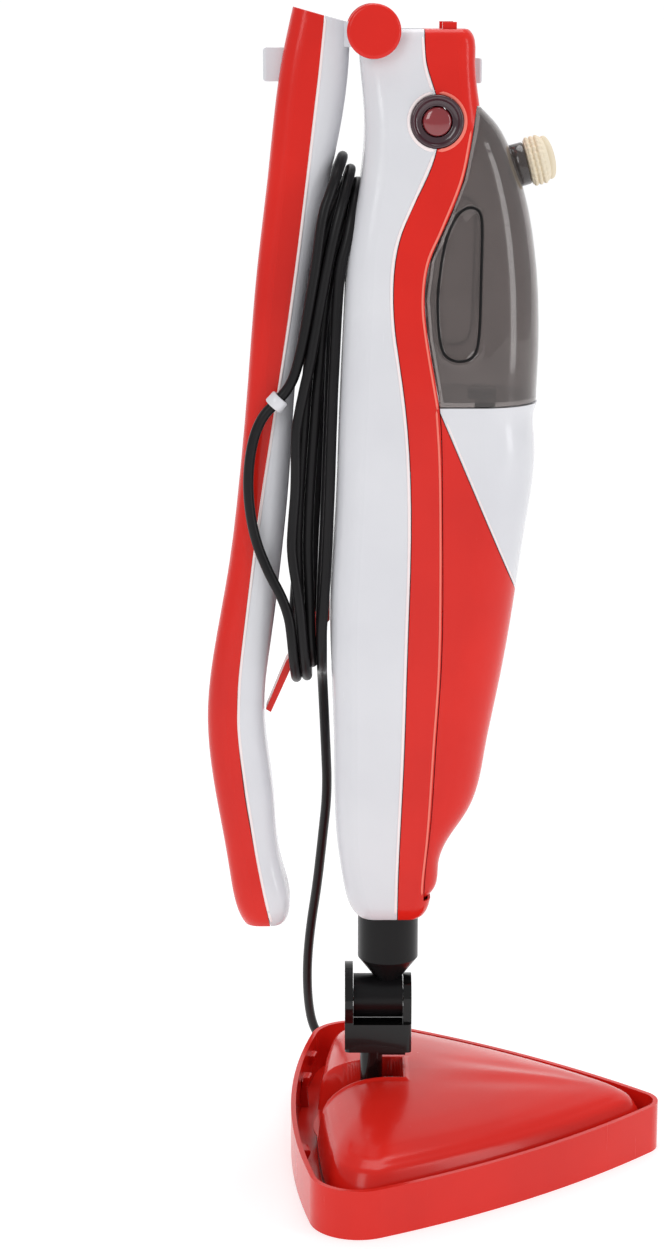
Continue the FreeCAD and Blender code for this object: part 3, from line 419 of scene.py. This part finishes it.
def rings_to_mesh(rings):
    """Points and faces of a closed skin through closed rings, with a fan at each end."""
    points, faces = [], []
    size = len(rings[0])
    for ring in rings:
        points += [tuple(p) for p in ring]
    for row in range(len(rings) - 1):
        for i in range(size):
            j = (i + 1) % size
            faces.append((row * size + i, row * size + j, (row + 1) * size + j, (row + 1) * size + i))
    for row, ring in ((0, rings[0]), (len(rings) - 1, rings[-1])):
        centre = len(points)
        points.append(tuple(np.mean(ring, axis=0)))
        for i in range(size):
            j = (i + 1) % size
            edge = (row * size + i, row * size + j)
            faces.append((centre,) + (edge if row else edge[::-1]))
    return points, faces


def lathe(profile, origin, axis, count=96, ripple=None):
    """Rings of (distance along the axis, radius) turned about an axis.

    Each point is origin + axis * distance + (across cos(t) + third sin(t)) * radius; ripple(t, distance)
    adds to the radius.
    """
    along = Vector(axis).normalized()
    across = along.orthogonal().normalized()
    third = along.cross(across)
    rings = []
    for distance, radius in profile:
        ring = []
        for i in range(count):
            angle = 2 * math.pi * i / count
            r = radius + (ripple(angle, distance) if ripple else 0.0)
            outwards = across * math.cos(angle) + third * math.sin(angle)
            ring.append(tuple(Vector(origin) + along * distance + outwards * r))
        rings.append(ring)
    return rings_to_mesh(rings)


def turned_ring(profile, origin, axis, count=96):
    """A lathe whose profile comes back to its first point, so that it has no end fans."""
    points, faces = lathe(profile + profile[:1], origin, axis, count)
    kept = (len(profile) + 1) * count
    return points[:kept], [face for face in faces if max(face) < kept]


def torus_rows(distance, radius, thick, steps=12):
    """A lathe profile bump: a half round of that thickness on a cylinder."""
    turns = [math.pi * i / steps for i in range(steps + 1)]
    return [(distance - thick * math.cos(turn), radius + thick * math.sin(turn)) for turn in turns]


def smooth_step(value):
    """0 to 1 with level ends: 3 t^2 - 2 t^3."""
    t = np.clip(value, 0.0, 1.0)
    return t * t * (3 - 2 * t)


def curve_through(rows, at):
    """Smooth values between table rows (height, values...): cubic Hermite curves with central slopes."""
    table = np.array(rows, float)
    heights = table[:, 0]
    slopes = np.gradient(table[:, 1:], heights, axis=0)
    i = np.clip(np.searchsorted(heights, at, side="right") - 1, 0, len(heights) - 2)
    span = heights[i + 1] - heights[i]
    t = ((at - heights[i]) / span)[:, None]
    a, b = table[i, 1:], table[i + 1, 1:]
    sa, sb = slopes[i] * span[:, None], slopes[i + 1] * span[:, None]
    start, end = 2 * t**3 - 3 * t**2 + 1, 3 * t**2 - 2 * t**3
    return start * a + (t**3 - 2 * t**2 + t) * sa + end * b + (t**3 - t**2) * sb


# ---- water tank ----

# Height, front, half width and front corner radius of its sections, then height and rear edge.
TANK_ROWS = [(471.5, 85.2, 44.0, 34), (510.0, 86.2, 44.0, 34), (552.0, 84.0, 42.4, 33),
             (590.0, 77.2, 39.4, 30), (616.0, 68.4, 35.4, 26), (632.0, 59.0, 30.4, 20),
             (640.5, 50.6, 24.0, 12)]
TANK_SEAM = [(471.5, 27.1), (474, 26.8), (511, 20.4), (533, 18.4), (554, 21), (573, 29), (601, 40),
             (628, 45.4), (640.5, 47.3)]
TANK_LEVELS = np.concatenate([np.linspace(471.5, 632, 150), np.linspace(633, 640.5, 12)])
TANK_GAP = 0.7
TANK_LEAST = 2.6
TANK_WALL = 2.4
LEAST_CORNER = 2.0
# The side is drawn this far past the seam, then cut at it.
PAST_SEAM = 4
CORNER_POINTS = 40
SIDE_POINTS = 74
BACK_POINTS = 24
# A point beyond this share of the half width lies on the side.
SIDE_SHARE = 0.55
# Side outline (X, Z) of the finger recess, and its depth.
RECESS = [(43.8, 585.7), (49.6, 583.5), (51.2, 576), (50.6, 545), (50.2, 516), (48.6, 503), (44, 498.2),
          (36.1, 497.6), (30, 501), (27.4, 508), (26.0, 522), (25.8, 538.8), (29.8, 567.1), (37, 582)]
RECESS_DEPTH = 3.4
# The dark bead of painted shade round each recess: its thickness, how far it is sunk, and its points
RIM_THICKNESS = 0.85
RIM_SUNK = 0.35
RIM_POINTS = 160
BEAD_POINTS = 10
CAP_POINT = (74.6, 0.0, 607.0)
CAP_TILT = math.radians(15)
CAP_AXIS = (math.cos(CAP_TILT), 0.0, math.sin(CAP_TILT))
# Distance along the cap's axis and radius.
NECK_PROFILE = [(-6, 12.5), (3.2, 12.5), (4.0, 11.9), (4.0, 10.7), (-6, 10.7)]
CAP_SKIRT = [(-3.5, 0.5), (-3.5, 10.0), (4.4, 10.0), (4.6, 12.6), (5.0, 13.2)]
CAP_DOME = [(13.8, 12.9), (15.2, 12.0), (16.0, 10.4), (16.5, 8.0), (16.8, 4.0), (16.9, 0.5)]
CAP_RIDGES = (6.6, 9.4, 12.2)
RIDGE_RADIUS = 12.8
RIDGE_HEIGHT = 1.2
CAP_FLUTES = 22
FLUTE_DEPTH = 0.45
# The flutes lie between these distances along the cap's axis.
FLUTED = (5.0, 15.0)
# The grip bar: half length, distance along the axis, half sizes along the axis and across, rings and points.
GRIP_HALF = 12.6
GRIP_OUT = 16.2
GRIP_DEEP, GRIP_WIDE = 4.4, 3.0
GRIP_RINGS, GRIP_POINTS = 30, 32


def edge_distance(x, z, outline):
    """Signed distance to a closed outline in the side plane: positive inside."""
    outline = np.array(outline)
    best = np.full(x.shape, 1e9)
    inside = np.zeros(x.shape, bool)
    for (x0, z0), (x1, z1) in zip(outline, np.roll(outline, -1, axis=0)):
        dx, dz = x1 - x0, z1 - z0
        t = np.clip(((x - x0) * dx + (z - z0) * dz) / (dx * dx + dz * dz), 0, 1)
        best = np.minimum(best, np.hypot(x - x0 - t * dx, z - z0 - t * dz))
        crosses = ((z0 > z) != (z1 > z)) & (x < x0 + (z - z0) / (z1 - z0 + 1e-12) * dx)
        inside ^= crosses
    return np.where(inside, best, -best)


def tank_ring(front, half, radius, seam, inset, count):
    """Closed section: from the near seam along the side, round the front to the far seam, then across."""
    front, half, radius = front - inset, half - inset, max(radius - inset, LEAST_CORNER)
    seam = seam + inset
    corner_x, corner_y = front - radius, half - radius
    quarter = [(corner_x + radius * math.sin(t), -corner_y - radius * math.cos(t))
               for t in np.linspace(0, math.pi / 2, CORNER_POINTS)]
    straight = np.linspace(min(seam, corner_x) - PAST_SEAM, corner_x, CORNER_POINTS)
    near = np.array([(x, -half) for x in straight] + quarter)
    keep = near[near[:, 0] >= seam]
    first = np.array([[seam, np.interp(seam, near[:, 0], near[:, 1])]])
    near = np.vstack([first, keep, [[front, 0.0]]])
    lengths = np.concatenate([[0], np.cumsum(np.hypot(*np.diff(near, axis=0).T))])
    at = np.linspace(0, lengths[-1], count)
    side = np.column_stack([np.interp(at, lengths, near[:, 0]), np.interp(at, lengths, near[:, 1])])
    far = side[::-1][1:] * (1, -1)
    across = np.linspace(-side[0, 1], side[0, 1], BACK_POINTS + 2)[1:-1]
    back = np.column_stack([np.full(BACK_POINTS, seam), across])
    return np.vstack([side, far, back])


def recess_push(x, z):
    """How far the side is pushed in: a step and a dish by the distance d into the recess, less a lip.

    push = depth (S((d + 0.9) / 2.4) + S((d + 0.9) / 13)) / 2 - 0.5 exp(-((d + 1.6) / 0.8)^2), where S is
    the smooth step.
    """
    inside = edge_distance(x, np.full(x.shape, z), RECESS)
    step = 0.5 * smooth_step((inside + 0.9) / 2.4)
    dish = 0.5 * smooth_step((inside + 0.9) / 13.0)
    return RECESS_DEPTH * (step + dish) - 0.5 * np.exp(-((inside + 1.6) / 0.8) ** 2)


def tank_skin(inset):
    """The tank's outer skin, or its inner one when inset by the wall."""
    levels = np.clip(TANK_LEVELS, TANK_LEVELS[0] + inset, TANK_LEVELS[-1] - inset)
    seams = np.interp(TANK_LEVELS, *np.array(TANK_SEAM).T) + TANK_GAP
    rings = []
    for z, (front, half, radius), seam in zip(levels, curve_through(TANK_ROWS, levels), seams):
        ring = tank_ring(front, half, radius, min(seam, front - TANK_LEAST - inset), inset, SIDE_POINTS)
        x, y = ring[:, 0], ring[:, 1]
        on_side = np.abs(y) > SIDE_SHARE * half
        y = y - np.where(on_side, np.sign(y) * recess_push(x, z), 0.0)
        rings.append(np.column_stack([x, y, np.full(len(x), z)]))
    return rings_to_mesh(rings)


def make_tank():
    """Smoked hollow tank with a finger recess in each side, and its filler neck."""
    points, faces = tank_skin(0.0)
    inner_points, inner_faces = tank_skin(TANK_WALL)
    faces += [tuple(i + len(points) for i in face[::-1]) for face in inner_faces]
    tank = make_mesh("smoked_tank", points + inner_points, faces, "smoke_plastic", "tank")
    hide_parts("water_tank")
    points, faces = lathe(NECK_PROFILE, CAP_POINT, CAP_AXIS)
    make_mesh("filler_neck", points, faces, "smoke_plastic", "tank")


def closed_bead(name, loop, thick, material, body):
    """A round bead along a closed loop: centre + thick (side cos(t) + other sin(t))."""
    loop = np.array(loop)
    tangent = np.roll(loop, -1, axis=0) - np.roll(loop, 1, axis=0)
    tangent /= np.linalg.norm(tangent, axis=1)[:, None]
    side = np.cross(tangent, (0, 1, 0))
    side /= np.linalg.norm(side, axis=1)[:, None]
    other = np.cross(tangent, side)
    points, faces = [], []
    around, count = BEAD_POINTS, len(loop)
    for centre, a, b in zip(loop, side, other):
        for i in range(around):
            t = 2 * math.pi * i / around
            points.append(tuple(centre + thick * (math.cos(t) * a + math.sin(t) * b)))
    for row in range(count):
        after = (row + 1) % count
        for i in range(around):
            j = (i + 1) % around
            faces.append((row * around + i, row * around + j, after * around + j, after * around + i))
    make_mesh(name, points, faces, material, body)


def rounded_loop(outline, count):
    """An outline with its corners cut three times (Chaikin), then spread evenly."""
    loop = np.array(outline, float)
    for _ in range(3):
        after = np.roll(loop, -1, axis=0)
        loop = np.stack([0.75 * loop + 0.25 * after, 0.25 * loop + 0.75 * after], axis=1).reshape(-1, 2)
    closed = np.vstack([loop, loop[:1]])
    lengths = np.concatenate([[0], np.cumsum(np.hypot(*np.diff(closed, axis=0).T))])
    at = np.linspace(0, lengths[-1], count, endpoint=False)
    return np.column_stack([np.interp(at, lengths, closed[:, 0]), np.interp(at, lengths, closed[:, 1])])


def make_recess_shade_lines():
    """Dark soft bead round each finger recess: painted shade along the recess's edge."""
    outline = rounded_loop(RECESS, RIM_POINTS)
    sizes = curve_through(TANK_ROWS, outline[:, 1])
    for side, sign in (("left", -1), ("right", 1)):
        loop = [(x, sign * (half - RIM_SUNK), z) for (x, z), half in zip(outline, sizes[:, 1])]
        closed_bead("recess_shade_line_" + side, loop, RIM_THICKNESS, "black_plastic", "tank")


def cap_flutes(angle, distance):
    """Flutes on the ridged part of the cap: 0.45 cos(22 t)."""
    return FLUTE_DEPTH * math.cos(CAP_FLUTES * angle) if FLUTED[0] < distance < FLUTED[1] else 0.0


def make_cap():
    """Cream cap: fluted skirt, three ridges, a domed end, and a grip bar across it."""
    profile = list(CAP_SKIRT)
    for distance in CAP_RIDGES:
        profile += torus_rows(distance, RIDGE_RADIUS, RIDGE_HEIGHT)
    points, faces = lathe(profile + CAP_DOME, CAP_POINT, CAP_AXIS, 8 * CAP_FLUTES, cap_flutes)
    cap = make_mesh("fluted_cap", points, faces, "cream_plastic", "filler_cap")
    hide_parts("filler_cap")
    along = Vector(CAP_AXIS)
    across = Vector((-math.sin(CAP_TILT), 0, math.cos(CAP_TILT)))
    grip = []
    for z in np.linspace(-GRIP_HALF, GRIP_HALF, GRIP_RINGS):
        end = math.sqrt(max(0.0, 1 - (z / (GRIP_HALF + 0.3)) ** 2))
        centre = Vector(CAP_POINT) + along * GRIP_OUT + across * z
        turns = np.linspace(0, 2 * math.pi, GRIP_POINTS, False)
        ring = [(GRIP_DEEP * end * math.cos(t), GRIP_WIDE * end ** 0.5 * math.sin(t)) for t in turns]
        grip.append([tuple(centre + along * a + Vector((0, b, 0))) for a, b in ring])
    points, faces = rings_to_mesh(grip)
    make_mesh("cap_grip", points, faces, "cream_plastic", "filler_cap")


# ---- head cover ----

HEAD_CENTRE = (5.0, 0.0)
COVER_LOW = 12.2
COVER_TOP = 51.0
COVER_SPOKES = 300
# The cover closes underneath at this depth below its rim.
COVER_UNDER = 0.1
# Rays to the rim start this far from the head's centre, in metres, and this high above the cover's foot; a
# hit nearer than the least reach is not the rim.
RIM_FROM = 0.4
RIM_LEVEL = 2
RIM_LEAST = 40
# Shares of the way from rim to crown at which the cover has a ring.
COVER_SHARES = np.concatenate([np.linspace(0, 0.1, 22, endpoint=False), np.linspace(0.1, 0.985, 118)])
# Height along a line from the rim to the crown: share of the way, share of the height.
PUFF = [(0.0, 0.0), (0.015, 0.20), (0.05, 0.46), (0.10, 0.60), (0.18, 0.715), (0.32, 0.83), (0.5, 0.915),
        (0.72, 0.975), (1.0, 1.0)]
BAY_FRONT = 8.5
BAY_HALF = 15.0
BAY_FLARE = 0.012
BAY_FLARE_FROM = -12.0
BAY_FLOOR = 0.6
BAY_LIP = 1.3
CREASE_DEPTH = 1.1
CREASE_WIDTH = 9.0
CREASE_SLOPE = 0.16


def bay_distance(x, y):
    """Signed distance into the leg's bay, which opens to the rear like a bell."""
    half = BAY_HALF + BAY_FLARE * np.maximum(0.0, BAY_FLARE_FROM - x) ** 2
    return np.minimum(BAY_FRONT - x, half - np.abs(y))


def rim_reach(tree):
    """Distance from the head's centre to the CAD cover's outside, along each spoke."""
    centre = Vector((*HEAD_CENTRE, 0))
    level = Vector((HEAD_CENTRE[0] * MM, HEAD_CENTRE[1] * MM, (COVER_LOW + RIM_LEVEL) * MM))
    rim = []
    for i in range(COVER_SPOKES):
        angle = 2 * math.pi * i / COVER_SPOKES
        way = Vector((math.cos(angle), math.sin(angle), 0))
        hit = tree.ray_cast(level + way * RIM_FROM, -way)[0]
        rim.append((hit / MM - centre).dot(way) if hit else 0.0)
    known = [i for i, far in enumerate(rim) if far > RIM_LEAST]
    reach = np.interp(np.arange(COVER_SPOKES), known, [rim[i] for i in known], period=COVER_SPOKES)
    for _ in range(2):
        reach = (np.roll(reach, 1) + reach + np.roll(reach, -1)) / 3
    return reach


def cover_height(x, y, share, level):
    """z = low + (top - low) PUFF(share) - crease + lip, sunk to the floor inside the bay.

    The crease runs to the nose at |y| = 0.16 (150 - x), 1.1 exp(-(distance / 9)^2) deep, and comes in from
    x = 18 to 78 and goes out from 115 to 155. The lip is 1.3 exp(-((d + 2.4) / 1.7)^2) high, with d the
    distance into the bay. Both come in near the rim, and the floor from d = -1.1 to 1.1.
    """
    crease = CREASE_DEPTH * np.exp(-((np.abs(y) - CREASE_SLOPE * (150 - x)) / CREASE_WIDTH) ** 2)
    crease *= smooth_step((x - 18) / 60) * smooth_step((155 - x) / 40)
    z = COVER_LOW + (COVER_TOP - COVER_LOW) * level - crease * smooth_step(share / 0.2)
    into = bay_distance(x, y)
    z += BAY_LIP * np.exp(-((into + 2.4) / 1.7) ** 2) * smooth_step(share / 0.08)
    sunk = smooth_step((into + 1.1) / 2.2)
    return z * (1 - sunk) + (COVER_LOW + BAY_FLOOR) * sunk


def make_head_cover():
    """Puffed three-cornered cover with a lipped bay for the leg: rings at shares of the way to the crown."""
    reach = rim_reach(surface_tree("head_cover"))
    angles = 2 * math.pi * np.arange(COVER_SPOKES) / COVER_SPOKES
    rings = []
    for share, level in zip(COVER_SHARES, curve_through(PUFF, COVER_SHARES)[:, 0]):
        radius = reach * (1 - share)
        x = HEAD_CENTRE[0] + radius * np.cos(angles)
        y = HEAD_CENTRE[1] + radius * np.sin(angles)
        rings.append(np.column_stack([x, y, cover_height(x, y, share, level)]))
    under = rings[0] * (1, 1, 0) + (0, 0, COVER_LOW - COVER_UNDER)
    points, faces = rings_to_mesh([under] + rings)
    cover = make_mesh("puffed_cover", points, faces, "red_plastic", "head")
    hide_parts("head_cover")


# Height, reach and half width of the glider's catch tabs, and their places along the rear wall.
TAB_ROWS = ((16.0, 0.4, 4.4), (17.0, 1.6, 5.0), (21.0, 3.4, 5.0), (22.5, 3.2, 5.0), (23.0, 2.2, 5.0))
TAB_PLACES = (-96, -58, 58, 96)
TAB_LEAN = 0.18
TAB_ROOT = 0.6
TAB_TAPER = 0.6
# X and Z at which the rays to the rear wall start, in metres.
TAB_RAY = (-0.036, 0.020)


def make_glider_tabs():
    """Small catch tabs on the inside of the glider's rear wall."""
    tree = surface_tree("carpet_glider")
    for number, y in enumerate(TAB_PLACES):
        hit = tree.ray_cast(Vector((TAB_RAY[0], y * MM, TAB_RAY[1])), Vector((-1, 0, 0)))[0]
        if hit is None:
            continue
        wall = hit.x / MM
        root = wall - TAB_ROOT
        lean = TAB_LEAN * (1 if y > 0 else -1)
        rings = []
        for z, reach, half in TAB_ROWS:
            face = wall + reach
            rings.append([(root - lean * half, y - half, z), (face - lean * half, y - half + TAB_TAPER, z),
                          (face + lean * half, y + half - TAB_TAPER, z), (root + lean * half, y + half, z)])
        points, faces = rings_to_mesh(rings)
        make_mesh(f"glider_tab_{number}", points, faces, "red_plastic", "glider", smooth=False)


def round_neck():
    """Gloss finish and eased edges on the yoke."""
    yoke = NODES["swivel_yoke"]
    ease = yoke.modifiers.new("eased edges", "BEVEL")
    ease.width = 1.4 * MM
    ease.segments = 3
    ease.limit_method = "ANGLE"
    ease.angle_limit = math.radians(50)
    yoke.data.materials.clear()
    yoke.data.materials.append(MATERIALS["gloss_black"])


# ---- seams ----

BUTTON_X, BUTTON_Z = 25.0, 633.0
# A seam line stops at this distance from the button's middle.
BUTTON_CLEAR = 15.8
LIP_RADIUS = 16.1
LIP_POINTS = 13
LIP_HALF = 1.0
# An edge's height for its half width, its distance out from the surface, and the size of its tips.
EDGE_RISE = 0.4
EDGE_OUT = 0.05
EDGE_TIP = 0.15
EDGE_POINTS = 8
# Rays to the shells start this far out, in metres.
SHELL_FROM = 0.2
# Side lines (X, Z), from the top down.
REAR_SEAM_TOP = [(17.5, 680), (19, 664), (22.5, 652), (24.6, 644)]
REAR_SEAM = [(25.4, 621), (23.5, 613), (14.5, 592), (4, 567), (0.6, 545), (1.4, 516),
             (6, 484), (10, 445), (11.4, 392), (10, 333), (8, 254), (5.5, 190), (5, 160)]
TANK_EDGE = [(x, z) for z, x in TANK_SEAM[-2::-1]]
FRONT_SEAM = [(26.8, 470), (29, 434), (30, 370), (29.6, 315), (27, 268), (24, 214), (21.2, 182), (20.9, 173)]
HANDLE_SEAM = [(-39, 690), (-44.6, 639), (-57.5, 536), (-75.5, 419), (-88, 325), (-91, 290), (-90, 261),
               (-81.5, 199), (-74, 160), (-72, 152)]
BOWL_LINE = [(31, 463), (60, 394.5), (76, 356.7)]
# Line, its shift along X, half width, finish (a painted highlight) and body.
EDGES = {
    "frame_edge": (REAR_SEAM, -1.0, 0.85, "seam_edge", "body"),
    "frame_edge_top": (REAR_SEAM_TOP, -1.0, 0.85, "seam_edge", "body"),
    "handle_edge": (HANDLE_SEAM, 1.0, 0.85, "seam_edge", "handle"),
    "bowl_edge": (BOWL_LINE, 0.4, 0.5, "seam_edge", "body"),
    "tank_edge": (TANK_EDGE, -1.2, 0.6, "red_edge", "body"),
    "front_edge": (FRONT_SEAM, -1.2, 0.6, "red_edge", "body"),
}
# First and last angle of the lip's two halves, and their finish, a painted white or salmon highlight.
LIPS = {"lip_white": (99, 266, "seam_edge"), "lip_red": (-89, 94, "red_edge")}


def smooth_line(points, step=2.0):
    """Evenly spaced points on a Catmull-Rom curve through the given ones."""
    points = np.array(points, float)
    padded = np.vstack([2 * points[0] - points[1], points, 2 * points[-1] - points[-2]])
    out = []
    for p0, p1, p2, p3 in zip(padded, padded[1:], padded[2:], padded[3:]):
        for t in np.linspace(0, 1, max(2, int(np.linalg.norm(p2 - p1) / step)), endpoint=False):
            out.append(0.5 * (2 * p1 + (p2 - p0) * t + (2 * p0 - 5 * p1 + 4 * p2 - p3) * t**2
                              + (3 * p1 - p0 - 3 * p2 + p3) * t**3))
    return np.array(out + [points[-1]])


def surface_tree(*names):
    """The surfaces of some CAD nodes, for casting rays on."""
    points, faces = [], []
    for name in names:
        mesh = NODES[name].data
        shift = len(points)
        points += [v.co.copy() for v in mesh.vertices]
        faces += [tuple(i + shift for i in f.vertices) for f in mesh.polygons]
    return BVHTree.FromPolygons(points, faces)


def seam_bead(name, line, shift, half_width, material, body, tree):
    """A fine raised line on the near and far sides along a line of the side plane.

    Each ring is centre + half_width (a cos(t) + rise b sin(t)), where a lies in the side plane and b points
    out of it, both square to the line.
    """
    places = [(x, z) for x, z in smooth_line(line) if math.hypot(x - BUTTON_X, z - BUTTON_Z) > BUTTON_CLEAR]
    for side, sign in (("left", -1), ("right", 1)):
        centres = []
        for x, z in places:
            start = Vector(((x + shift) * MM, sign * SHELL_FROM, z * MM))
            hit = tree.ray_cast(start, Vector((0, -sign, 0)))[0]
            if hit is not None:
                centres.append((x + shift, hit.y / MM + sign * EDGE_OUT, z))
        centres = np.array(centres)
        depth = centres[:, 1]
        for _ in range(2):
            depth[1:-1] = (depth[:-2] + depth[1:-1] + depth[2:]) / 3
        tangent = np.gradient(centres, axis=0)
        tangent /= np.linalg.norm(tangent, axis=1)[:, None]
        a = np.cross(tangent, (0, 1, 0))
        a /= np.linalg.norm(a, axis=1)[:, None]
        b = np.cross(tangent, a)
        last = len(centres) - 1
        rings = []
        for i, (c, u, w) in enumerate(zip(centres, a, b)):
            r = half_width * (EDGE_TIP if i in (0, last) else 1.0)
            rings.append([tuple(c + r * (math.cos(t) * u + EDGE_RISE * math.sin(t) * w))
                          for t in np.linspace(0, 2 * math.pi, EDGE_POINTS, endpoint=False)])
        points, faces = rings_to_mesh(rings)
        make_mesh(name + "_" + side, points, faces, material, body)


def make_seams():
    """Raised beads painted as highlights where the shells meet, and the lip of the button's opening, painted
    as a white and a salmon highlight.
    """
    shells = {"body": surface_tree("rear_shell", "side_frame", "front_shell", "bowl"),
              "handle": surface_tree("handle_outer_shell", "handle_inner_shell")}
    for name, (*edge, body) in EDGES.items():
        seam_bead(name, *edge, body, shells[body])
    for name, (start, stop, material) in LIPS.items():
        turns = np.radians(np.linspace(start, stop, LIP_POINTS))
        lip = [(BUTTON_X + LIP_RADIUS * math.cos(t), BUTTON_Z + LIP_RADIUS * math.sin(t)) for t in turns]
        seam_bead(name, lip, 0.0, LIP_HALF, material, "body", shells["body"])


# ---- cord clip ----

CLIP_AT = (-66.4, -28.8, 472.5)
CLIP_ALONG = (-0.677, 0.0, -0.736)
HANDLE_SIDE = -20.3
# Distance along the axis and radius.
EYE_PROFILE = [(-3.6, 4.0), (-3.6, 5.2), (-3.0, 5.8), (3.0, 5.8), (3.6, 5.2), (3.6, 4.0)]
FOOT_PROFILE = [(0.0, 0.2), (0.0, 4.4), (3.6, 4.0), (3.6, 0.2)]


def make_cord_clip():
    """Round white eye that holds one strand of the lead against the handle."""
    points, faces = turned_ring(EYE_PROFILE, CLIP_AT, CLIP_ALONG)
    more, sides = lathe(FOOT_PROFILE, (CLIP_AT[0], HANDLE_SIDE, CLIP_AT[2]), (0, -1, 0))
    faces += [tuple(i + len(points) for i in face) for face in sides]
    clip = make_mesh("cord_eye", points + more, faces, "white_plastic", "handle")
    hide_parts("cord_clip")


# ---- side button ----

# Distance out from the ring's face and radius.
RING_PROFILE = [(-3.0, 8.7), (-3.0, 14.9), (-0.4, 15.0), (0.5, 14.9), (1.0, 14.3), (1.05, 13.6), (0.7, 13.0),
                (-0.5, 12.2), (-1.2, 10.9), (-1.4, 9.6), (-1.3, 8.9), (-1.6, 8.7)]
LENS_BASE = [(-4.0, 0.4), (-4.0, 8.2), (-0.9, 8.2), (-0.2, 7.9)]
# The lens's dome: radius, start and bulge, and its rings' first and last angle and number.
LENS_RADIUS = 7.9
LENS_START = -0.2
LENS_BULGE = 2.2
LENS_TURNS = (0.12, 1.5, 14)


def make_buttons():
    """Dished dark ring, and the domed red button in it."""
    turns = np.linspace(*LENS_TURNS)
    dome = [(LENS_START + LENS_BULGE * math.sin(t), LENS_RADIUS * math.cos(t)) for t in turns]
    for side, sign in (("left", -1), ("right", 1)):
        outer = abs(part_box("bezel_" + side)[0 if sign < 0 else 1][1]) / MM
        face = (BUTTON_X, sign * outer, BUTTON_Z)
        points, faces = turned_ring(RING_PROFILE, face, (0, sign, 0), count=128)
        bezel = make_mesh("dished_ring_" + side, points, faces, "dark_trim", "body")
        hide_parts("bezel_" + side)
        points, faces = lathe(LENS_BASE + dome, face, (0, sign, 0))
        cap = make_mesh("button_lens_" + side, points, faces, "red_button", "side_button_" + side)
        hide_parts("side_button_" + side)


# ---- studio ----

# Name, place, aim, width and height, and power of each lamp.
LAMPS = [("key softbox", (-1.3, -2.2, 1.7), (0.0, 0.0, 0.4), (1.0, 1.6), 17),
         ("side softbox", (2.0, -0.9, 0.9), (0.0, 0.0, 0.4), (0.5, 1.6), 9),
         ("top softbox", (0.2, 0.3, 2.6), (0.0, 0.0, 0.3), (1.4, 1.4), 22)]
AMBIENT = 0.50
FLOOR_GLOW = 0.58
CAMERA_PLACE = (-0.0344, -1.6416, 0.7008)
CAMERA_DIP = 12.6
CAMERA_LENS = 80.7


def make_floor():
    """A flat floor that sweeps up into a wall: a quarter turn of 1.2 m radius between two flat stretches."""
    sweep = [(-4.0, 0.0), (2.0, 0.0)]
    turns = np.linspace(0.1, math.pi / 2, 14)
    sweep += [(2.0 + 1.2 * math.sin(t), 1.2 - 1.2 * math.cos(t)) for t in turns]
    sweep += [(3.2, 5.0)]
    points = [(x, y, z) for y, z in sweep for x in (-5.0, 5.0)]
    faces = [(2 * i, 2 * i + 1, 2 * i + 3, 2 * i + 2) for i in range(len(sweep) - 1)]
    plane = bpy.data.meshes.new("studio_floor")
    plane.from_pydata(points, [], faces)
    plane.polygons.foreach_set("use_smooth", [True] * len(faces))
    floor = bpy.data.objects.new("studio_floor", plane)
    bpy.context.scene.collection.objects.link(floor)
    glow = {"Roughness": 0.8, "Base Color": (0.55, 0.55, 0.55, 1), "Emission Color": (1, 1, 1, 1),
            "Emission Strength": FLOOR_GLOW}
    plane.materials.append(principled("pale floor", glow)[0])


def make_world():
    """Soft even light all round, with a white backdrop where the camera looks past the floor."""
    world = bpy.data.worlds.new("studio")
    world.use_nodes = True
    tree = world.node_tree
    tree.nodes.clear()
    by_ray = tree.nodes.new("ShaderNodeLightPath")
    ambient = add(tree, "ShaderNodeBackground", Color=(0.97, 0.98, 1.0, 1), Strength=AMBIENT)
    backdrop = add(tree, "ShaderNodeBackground", Color=(1, 1, 1, 1), Strength=1.0)
    chosen = tree.nodes.new("ShaderNodeMixShader")
    out = tree.nodes.new("ShaderNodeOutputWorld")
    tree.links.new(by_ray.outputs["Is Camera Ray"], chosen.inputs["Fac"])
    tree.links.new(ambient.outputs[0], chosen.inputs[1])
    tree.links.new(backdrop.outputs[0], chosen.inputs[2])
    tree.links.new(chosen.outputs[0], out.inputs["Surface"])
    bpy.context.scene.world = world


def make_lamps():
    """Soft rectangular area lamps, each turned to its aim."""
    for name, place, aim, size, power in LAMPS:
        light = bpy.data.lights.new(name, "AREA")
        light.shape = "RECTANGLE"
        light.size, light.size_y = size
        light.energy = power
        lamp = bpy.data.objects.new(name, light)
        lamp.location = place
        bpy.context.scene.collection.objects.link(lamp)
        lamp.rotation_euler = (Vector(aim) - Vector(place)).to_track_quat("-Z", "Y").to_euler()


def make_camera():
    """The picture's view: from the near side, looking a little down."""
    camera = bpy.data.cameras.new("camera")
    camera.lens = CAMERA_LENS
    camera.sensor_width = 36.0
    rig = bpy.data.objects.new("camera", camera)
    rig.location = CAMERA_PLACE
    rig.rotation_euler = (math.radians(90 - CAMERA_DIP), 0, 0)
    bpy.context.scene.collection.objects.link(rig)
    bpy.context.scene.camera = rig


dress_nodes()
make_lead()
make_tank()
make_recess_shade_lines()
make_cap()
make_head_cover()
make_glider_tabs()
round_neck()
make_cord_clip()
make_seams()
make_buttons()
make_floor()
make_world()
make_lamps()
make_camera()
bpy.context.scene.view_settings.view_transform = "Standard"
